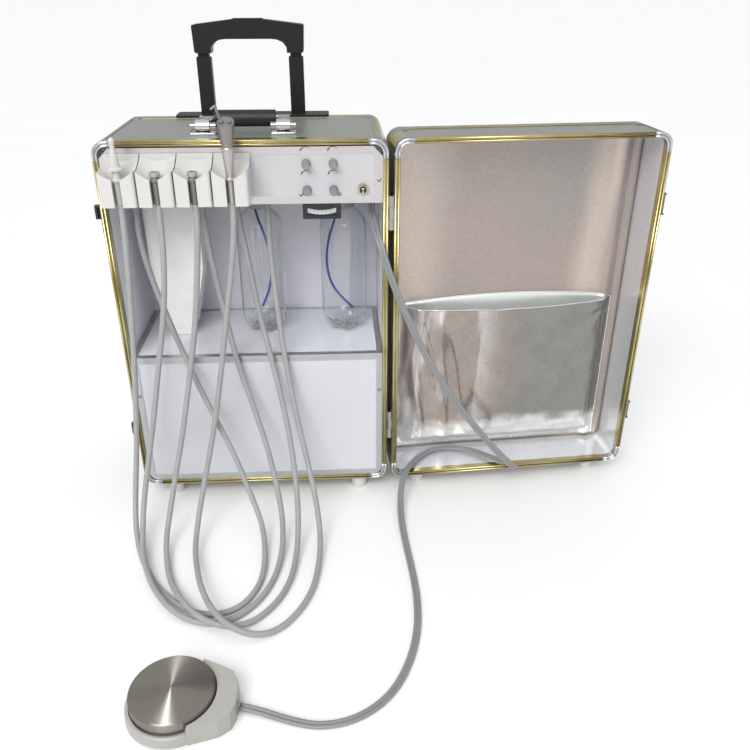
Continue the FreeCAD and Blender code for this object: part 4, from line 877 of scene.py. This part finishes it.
RIVET_INSET = 0.0225
RIVET_RADIUS, RIVET_HEIGHT = 0.0021, 0.0008


def add_rivet(mesh, spot, outward):
    """A low rivet head standing on a face."""
    first = outward.orthogonal().normalized()
    second = outward.cross(first)
    steps = [(1, -0.25), (1, 0.15), (0.9, 0.55), (0.65, 0.85), (0.3, 1)]
    add_skin(mesh, [ring(spot + outward * RIVET_HEIGHT * up, first, second, RIVET_RADIUS * wide, 16)
                    for wide, up in steps])


def make_rivets(body, left, right, front, back, spot):
    """Two rivets on each of a shell's eight corners: one on its side, one on its top or bottom."""
    mesh = bmesh.new()
    for x, x_out in ((left, -1), (right, 1)):
        for z, z_out in ((CASE_LOW, -1), (CASE_HIGH, 1)):
            for y in (front, back):
                sideways = spot(x + x_out, y, 0) - spot(x, y, 0)
                add_rivet(mesh, spot(x, y, z - z_out * RIVET_INSET), sideways)
                add_rivet(mesh, spot(x - x_out * RIVET_INSET, y, z), Vector((0, 0, z_out)))
    return dress(finish_mesh(f"{body}_rivets", mesh), body)


case_rivets = make_rivets("case", -CASE_HALF, CASE_HALF, -0.0925, 0.092, lambda *place: Vector(place))
lid_rivets = make_rivets("lid", LID_NEAR, LID_FAR, 0.005, 0.078, lid_spot)

# ---------------------------------------------------------------- materials of the case

RIB_PITCH = 0.0017
SIDE_PART, BACK_PART = 0.004, 0.0035  # how deep in the walls the outside's finish gives way
PART_BLEND = 0.0004


def shell_laminate(name, middle, back, turn, inside_colour, inside_rough, inside_metal):
    """Finely ribbed silver laminate outside, a smooth lining inside; the walls' middles part the two."""
    paint = Paint(name)
    place = paint.turned(-turn, tuple(HINGE)) if turn else paint.place
    x, y, z = (paint.axis(axis, place) for axis in "XYZ")

    def beyond(value, edge):
        return paint.step(value, edge - PART_BLEND, edge + PART_BLEND)

    sides = beyond((x - middle).math("ABSOLUTE"), CASE_HALF - SIDE_PART)
    ends = beyond((z - (CASE_LOW + CASE_HIGH) / 2).math("ABSOLUTE"), (CASE_HIGH - CASE_LOW) / 2 - SIDE_PART)
    rear = beyond(y, back - BACK_PART)
    outside = sides.math("MAXIMUM", ends).math("MAXIMUM", rear)
    cloud = paint.noise(14)
    grain = paint.noise(700, 2.0)
    ribs = paint.waves(y, RIB_PITCH) * (1 - rear) + paint.waves(x, RIB_PITCH) * rear
    silver = paint.mix(cloud, (0.27, 0.28, 0.262), (0.33, 0.34, 0.32))
    lining_tone = paint.mix(cloud, shade(inside_colour, 0.94), inside_colour)
    paint.set(Base_Color=paint.mix(outside, lining_tone, silver),
              Roughness=outside * (0.36 - inside_rough) + inside_rough + (grain - 0.5) * 0.08,
              Metallic=outside * (0.55 - inside_metal) + inside_metal)
    return paint.bump(ribs * outside * 0.5 + grain * 0.3, 0.00006).material


def gold_extrusion():
    """Satin gold anodising with fine drawing marks, worn paler in places."""
    paint = Paint("gold_anodised", Metallic=1.0)
    upright = paint.noise(900, 3.0, paint.scaled(1, 1, 0.03))
    level = paint.noise(900, 3.0, paint.scaled(0.03, 1, 1))
    marks = upright * 0.5 + level * 0.5
    cloud = paint.noise(18)
    tone = paint.mix(paint.step(cloud, 0.35, 0.7), (0.47, 0.395, 0.175), (0.60, 0.53, 0.29))
    paint.set(Base_Color=tone, Roughness=(marks - 0.5) * 0.16 + 0.24)
    return paint.bump(marks, 0.000008).material


def chrome(name, colour=(0.40, 0.405, 0.41), rough=0.14):
    """Bright plating with faint smears."""
    paint = Paint(name, Metallic=1.0)
    smear = paint.noise(60, 4.0)
    paint.set(Base_Color=paint.mix(smear, shade(colour, 0.86), colour),
              Roughness=paint.step(smear, 0.35, 0.75) * 0.14 + rough)
    return paint.bump(paint.noise(420, 2.0), 0.000012).material


def silver_cloth(name, warm, cool, painted_highlight, rough, weave):
    """Metal-coated cloth: warm and cool patches, upright bands of painted sheen and painted shade in its
    crinkles, over a fine plain weave.
    """
    paint = Paint(name, Metallic=0.75)
    place = paint.turned(-LID_TURN, tuple(HINGE))
    x, z = paint.axis("X", place), paint.axis("Z", place)
    patches = paint.noise(4.2, 3.0, place)
    wander = (paint.noise(5.0, 2.0, paint.scaled(1, 1, 0.4, place)) - 0.5) * 0.09
    threads = paint.waves(x, weave) * 0.5 + paint.waves(z, weave) * 0.5
    slubs = paint.noise(900, 2.0, paint.scaled(0.5, 1, 1, place))
    crinkles = paint.noise(170, 4.0, paint.scaled(0.7, 1, 1.2, place), 0.6)
    across = x - HINGE.x + wander
    tone = paint.mix(paint.step(patches, 0.36, 0.64), warm, cool)
    # Painted sheen: lighter bands near the hinge side and just left of the seam stand in for reflections.
    left_painted_sheen = (1 - paint.step(across, 0.02, 0.13)) * 0.9
    right_painted_sheen = paint.step(across, 0.29, 0.335) * (1 - paint.step(across, 0.35, 0.372))
    tone = paint.mix(left_painted_sheen.math("MAXIMUM", right_painted_sheen), tone, painted_highlight)
    # Painted shade: the colour is dimmed where the crinkles and slubs, which also make the bump, are low.
    crease_shade = paint.step(crinkles * 0.6 + slubs * 0.4, 0.36, 0.62)
    paint.set(Base_Color=paint.mix(crease_shade, paint.dimmed(tone, 0.90), tone),
              Roughness=(slubs - 0.5) * 0.1 + rough)
    return paint.bump(threads * 0.3 + crinkles + slubs * 0.3, 0.00014).material


def pocket_film(name, rough, depth):
    """Glossy silver film: warmer towards the left, cooler towards the right, with a painted highlight along
    its foot and on its left folds and painted shade in its dents.
    """
    paint = Paint(name, Coat_Weight=0.25, Coat_Roughness=0.12)
    place = paint.turned(-LID_TURN, tuple(HINGE))
    x, z = paint.axis("X", place) - HINGE.x, paint.axis("Z", place)
    soft = paint.noise(30, 3.0, place, 0.55)
    fine = paint.noise(240, 4.0, place, 0.6)
    wander = (paint.noise(7, 3.0, place) - 0.5) * 0.16
    highlight_streaks = paint.noise(9, 3.0, paint.scaled(1.8, 1, 0.45, place), 0.6)
    tone = paint.mix(paint.step(x + wander, 0.13, 0.27), (0.40, 0.34, 0.30), (0.285, 0.28, 0.255))
    # Painted highlight: a pale band along the foot and pale streaks over the left folds, in the colour
    # (0.84, 0.84, 0.84) below.
    foot = 1 - paint.step(z + (soft - 0.5) * 0.04, 0.07, 0.1)
    left_fold_highlight = paint.step(highlight_streaks, 0.42, 0.54) * (1 - paint.step(x, 0.12, 0.2)) * 0.85
    painted_highlight = foot.math("MAXIMUM", left_fold_highlight)
    tone = paint.mix(painted_highlight * 0.95, tone, (0.84, 0.84, 0.84))
    # Painted shade: the colour is dimmed where the soft and fine noise, which also make the bump, are low.
    dent_shade = paint.step(soft * 0.5 + fine * 0.5, 0.35, 0.62)
    paint.set(Base_Color=paint.mix(dent_shade, paint.dimmed(tone, 0.84), tone),
              Roughness=soft * 0.14 + rough, Metallic=0.92 - painted_highlight * 0.42)
    return paint.bump(soft + fine * 0.22, depth).material


def inner_film():
    """The pocket's inner face, pale and clean."""
    paint = Paint("pocket_inner_film", Metallic=0.45)
    cloud = paint.noise(12, 3.0)
    paint.set(Base_Color=paint.mix(cloud, (0.70, 0.74, 0.71), (0.84, 0.86, 0.84)),
              Roughness=cloud * 0.1 + 0.26)
    return paint.bump(paint.noise(40, 3.0), 0.0003).material


LAVENDER = (0.88, 0.88, 0.94)
LID_WALL = (0.80, 0.81, 0.84)
case_laminate = shell_laminate("case_laminate", 0.0, 0.1, 0, LAVENDER, 0.38, 0.0)
lid_laminate = shell_laminate("lid_laminate", 0.408, -0.014, LID_TURN, LID_WALL, 0.26, 0.5)
gold = gold_extrusion()
corner_chrome = chrome("corner_chrome")
bright_chrome = chrome("bright_chrome", (0.66, 0.66, 0.67), 0.05)
assign(case_laminate, "case_shell")
assign(lid_laminate, "lid_shell")
assign(gold, "case_extrusions", "lid_extrusions", case_gold_ribs, lid_gold_ribs)
assign(corner_chrome, "case_corners", "lid_corners", "case_hinge_leaves", "lid_hinge_leaves",
       case_rivets, lid_rivets)
assign(chrome("latch_steel", (0.20, 0.195, 0.19), 0.2),
       "lid_latch_bases", "latch_lever_lower", "latch_lever_upper")
assign(bright_chrome, case_chrome_ribs, lid_chrome_ribs, bracket_frames)
assign(chrome("bracket_chrome", (0.36, 0.345, 0.36), 0.08), "handle_brackets")
assign(chrome("screw_steel", (0.34, 0.34, 0.335), 0.26), "panel_screws")
assign(plastic("foot_rubber", (0.60, 0.595, 0.57), 0.5), "case_feet", "lid_feet")
assign(plastic("keeper_black", (0.02, 0.02, 0.022), 0.4), "latch_keepers")
# The third colour of the lining cloth is its painted sheen.
assign(silver_cloth("lining_cloth", (0.42, 0.355, 0.315), (0.36, 0.34, 0.32), (0.62, 0.53, 0.46),
                    0.33, 0.0016), lining)
assign(plastic("seam_thread", (0.50, 0.49, 0.50), 0.6), stitches)
assign(pocket_film("pocket_film", 0.12, 0.0006), pocket)
assign(chrome("piping_film", (0.80, 0.79, 0.77), 0.16), pocket_hem, pocket_piping)
assign(inner_film(), pocket_back, back_hem)

# ---------------------------------------------------------------- materials of the inside and the panel


def white_laminate(name, colour, rough):
    """Glossy white board with a faint orange peel."""
    paint = Paint(name, Coat_Weight=0.4, Coat_Roughness=0.08)
    mottled(paint, colour, 0.025, 9, rough)
    return paint.bump(paint.noise(320, 2.0), 0.00003).material


assign(metal("edging_aluminium", (0.50, 0.51, 0.52), 0.36, (1, 1, 0.04)), "compartment_frame")
assign(white_laminate("shelf_white", (0.78, 0.79, 0.84), 0.22), "shelf_board")
assign(white_laminate("panel_white", (0.555, 0.555, 0.585), 0.2), "lower_panel")
assign(metal("panel_metal", (0.62, 0.58, 0.585), 0.34, (0.03, 1, 1), 700, spread=0.04), "control_panel")
assign(plastic("plate_white", (0.49, 0.48, 0.495), 0.34, 900, 0.00001, 0.02), "control_plate")
assign(plastic("arc_red", (0.26, 0.012, 0.015), 0.5, spread=0.1), arcs)
assign(plastic("knob_grey", (0.20, 0.205, 0.215), 0.48, spread=0.08), *knobs)
assign(plastic("gauge_black", (0.012, 0.012, 0.013), 0.3), "pressure_gauge")
assign(plastic("gauge_band_pale", (0.48, 0.50, 0.52), 0.3), gauge_band)
assign(plastic("tick_black", (0.015, 0.015, 0.016), 0.5), gauge_ticks)
assign(chrome("switch_nickel", (0.52, 0.47, 0.38), 0.16), "toggle_switch")
assign(bright_chrome, "toggle_lever")
assign(metal("tank_paint", (0.55, 0.56, 0.58), 0.45), "air_tank")
assign(metal("cast_housing", (0.30, 0.31, 0.32), 0.5, spread=0.1), "compressor")
assign(metal("valve_brass", (0.62, 0.55, 0.38), 0.35), "valve_block")
assign(plastic("holder_white", (0.56, 0.55, 0.53), 0.24, 1200, 0.00001, 0.015, Coat_Weight=0.5,
               Coat_Roughness=0.06), "instrument_holders")
assign(plastic("cap_grey", (0.30, 0.31, 0.33), 0.4), "bottle_caps")
assign(plastic("jar_milky", (0.84, 0.845, 0.83), 0.34, 600, 0.00002, 0.03), "waste_bottle")
assign(plastic("dip_tube_blue", (0.012, 0.045, 0.36), 0.3), *dip_tubes)


def clear_flask():
    """Clear blown plastic with soft ripples."""
    paint = Paint("clear_flask", Transmission_Weight=1.0, IOR=1.27, Coat_Weight=0.6, Coat_Roughness=0.03)
    ripple = paint.noise(26, 2.0)
    paint.set(Base_Color=paint.mix(ripple, (0.975, 0.98, 0.985), (0.99, 0.995, 1.0)),
              Roughness=ripple * 0.03 + 0.012)
    return paint.bump(ripple, 0.0006).material


assign(clear_flask(), *flasks)

# ---------------------------------------------------------------- materials of the instruments and hoses


def banded(name, bands, rough, metallic):
    """A turned instrument: colours change with height; each band is (height where it starts, colour)."""
    paint = Paint(name, Metallic=metallic)
    z = paint.axis("Z")
    tone = bands[0][1]
    for start, colour in bands[1:]:
        tone = paint.mix(paint.step(z, start - 0.0003, start + 0.0003), tone, colour)
    marks = paint.noise(800, 3.0, paint.scaled(1, 1, 0.05))
    paint.set(Base_Color=paint.mix(marks, paint.dimmed(tone, 0.9), tone),
              Roughness=(marks - 0.5) * 0.16 + rough)
    return paint.bump(marks, 0.00001).material


def hose_rubber(name, colour, rough):
    """Matte extruded tubing: dusty patches and faint drawn lines."""
    paint = Paint(name, Sheen_Weight=0.08)
    dust = paint.noise(55, 4.0, None, 0.65)
    fine = paint.noise(1400, 2.0)
    paint.set(Base_Color=paint.mix(paint.step(dust, 0.3, 0.72), shade(colour, 0.9), colour),
              Roughness=dust * 0.2 + rough)
    return paint.bump(fine * 0.6 + dust * 0.4, 0.00004).material


assign(hose_rubber("hose_grey", (0.325, 0.325, 0.325), 0.42),
       *[piece for name, piece in hoses.items() if name != "foot_hose"])
assign(hose_rubber("foot_hose_grey", (0.235, 0.24, 0.245), 0.26), hoses["foot_hose"])
assign(banded("suction_white", [(0, (0.40, 0.39, 0.38)), (0.5365, (0.56, 0.555, 0.545))], 0.22, 0.0),
       "suction_tip")
STEEL_DARK, STEEL_BRIGHT = (0.20, 0.195, 0.19), (0.42, 0.415, 0.41)
for number in (1, 2):
    assign(banded(f"connector_steel_{number}", [(0, STEEL_DARK), (0.5408, STEEL_BRIGHT)], 0.32, 0.4),
           f"handpiece_connector_{number}")
assign(banded("syringe_steel", [(0, (0.50, 0.475, 0.465)), (0.5768, (0.29, 0.27, 0.255))], 0.34, 0.85),
       "syringe_body")
assign(plastic("button_dark", (0.16, 0.155, 0.15), 0.4), "syringe_button_air", "syringe_button_water")

# ---------------------------------------------------------------- rolling gear and foot control: materials

assign(plastic("trolley_black", (0.010, 0.010, 0.0105), 0.45, 700, 0.00005, Specular_IOR_Level=0.3),
       "trolley_housing", "wheel_brackets")
assign(plastic("tube_black", (0.008, 0.008, 0.0085), 0.34, 1500, 0.00001, Specular_IOR_Level=0.3),
       "trolley_tubes")
assign(plastic("grip_black", (0.008, 0.008, 0.0085), 0.36, 900, 0.00004, Specular_IOR_Level=0.3),
       "trolley_grip", "trolley_button")


GRIP_HALF = 0.0436


def carry_handle_finish():
    """Black grained grip between chrome barrels and straps."""
    paint = Paint("handle_black_and_chrome", Specular_IOR_Level=0.35)
    plated = paint.step(paint.axis("X").math("ABSOLUTE"), GRIP_HALF - 0.0002, GRIP_HALF + 0.0002)
    grain = paint.noise(500, 3.0)
    smear = paint.noise(60, 4.0)
    black = paint.mix(grain, (0.009, 0.009, 0.0095), (0.018, 0.018, 0.019))
    silver = paint.mix(smear, (0.52, 0.52, 0.53), (0.66, 0.66, 0.66))
    paint.set(Base_Color=paint.mix(plated, black, silver), Metallic=plated,
              Roughness=0.42 - plated * 0.34 + smear * 0.06)
    return paint.bump(grain * (1 - plated), 0.00008).material


assign(carry_handle_finish(), "carry_handle")
assign(plastic("tyre_black", (0.02, 0.02, 0.021), 0.6, 400, 0.0001), "wheel_left", "wheel_right")
assign(plastic("pedal_cover", (0.35, 0.34, 0.31), 0.36, 1500, 0.00002, 0.02), "pedal_base")


def turned_steel():
    """A lathe-turned disc: fine rings and a few faint darker zones round its middle."""
    paint = Paint("disc_steel", Metallic=1.0, Anisotropic=1.0, Anisotropic_Rotation=0.25)
    x, y = paint.axis("X") - PEDAL_X, paint.axis("Y") - PEDAL_Y
    radius = (x * x + y * y).math("SQRT")
    rings, zones = (paint.add("ShaderNodeTexNoise", {"noise_dimensions": "1D"},
                              {"W": radius, "Scale": scale, "Detail": detail})
                    for scale, detail in ((2600.0, 3.0), (160.0, 2.0)))
    tone = paint.mix(rings * 0.75 + zones * 0.25, (0.20, 0.183, 0.158), (0.34, 0.317, 0.283))
    paint.set(Base_Color=tone, Roughness=(rings - 0.5) * 0.06 + 0.3)
    return paint.bump(rings, 0.000003).material


assign(turned_steel(), pedal_disc)

# ---------------------------------------------------------------- floor and light

FLOOR_HALF = 90.0


def make_floor():
    mesh = bmesh.new()
    corners = ((-1, -1), (1, -1), (1, 1), (-1, 1))
    mesh.faces.new([mesh.verts.new((x * FLOOR_HALF, y * FLOOR_HALF, 0)) for x, y in corners])
    floor = finish_mesh("studio_floor", mesh, rounded=False)
    paint = Paint("studio_floor_paint")
    mottled(paint, (0.86, 0.86, 0.86), 0.01, 2, 0.7)
    floor.data.materials.append(paint.material)


def lamp(name, kind, place, target, power):
    """A lamp at a place that shines towards a target."""
    data = bpy.data.lights.new(name, kind)
    data.energy = power
    piece = link(name, data)
    piece.location = place
    piece.rotation_euler = (Vector(target) - Vector(place)).to_track_quat("-Z", "Y").to_euler()
    return data


def make_lamps():
    sun = lamp("soft_sun", "SUN", (-0.3, -1.2, 0.95), (0, 0, 0), 1.7)
    sun.angle = math.radians(40)
    key = lamp("key_light", "AREA", (-0.9, -1.7, 1.9), (0.1, 0, 0.3), 12)
    key.shape = "RECTANGLE"
    key.size, key.size_y = 1.1, 0.8
    spot = lamp("pedal_light", "SPOT", (-0.46, -0.1, 1.85), (PEDAL_X, PEDAL_Y, 0.03), 22)
    spot.shadow_soft_size = 0.03
    spot.spot_size = math.radians(6.0)
    spot.spot_blend = 0.4


def make_world():
    world = bpy.data.worlds.new("studio_air")
    world.use_nodes = True
    tree = world.node_tree
    background = tree.nodes["Background"]
    background.inputs["Color"].default_value = (0.97, 0.985, 1.0, 1)
    direction = tree.nodes.new("ShaderNodeTexCoord")
    height = tree.nodes.new("ShaderNodeSeparateXYZ")
    brightness = tree.nodes.new("ShaderNodeMapRange")
    brightness.interpolation_type = "SMOOTHSTEP"
    for socket, value in (("From Min", 0.0), ("From Max", 0.75), ("To Min", 0.42), ("To Max", 0.92)):
        brightness.inputs[socket].default_value = value
    tree.links.new(direction.outputs["Generated"], height.inputs[0])
    tree.links.new(height.outputs["Z"], brightness.inputs["Value"])
    tree.links.new(brightness.outputs["Result"], background.inputs["Strength"])
    bpy.context.scene.world = world
    bpy.context.scene.view_settings.view_transform = "Standard"


make_floor()
make_world()
make_lamps()
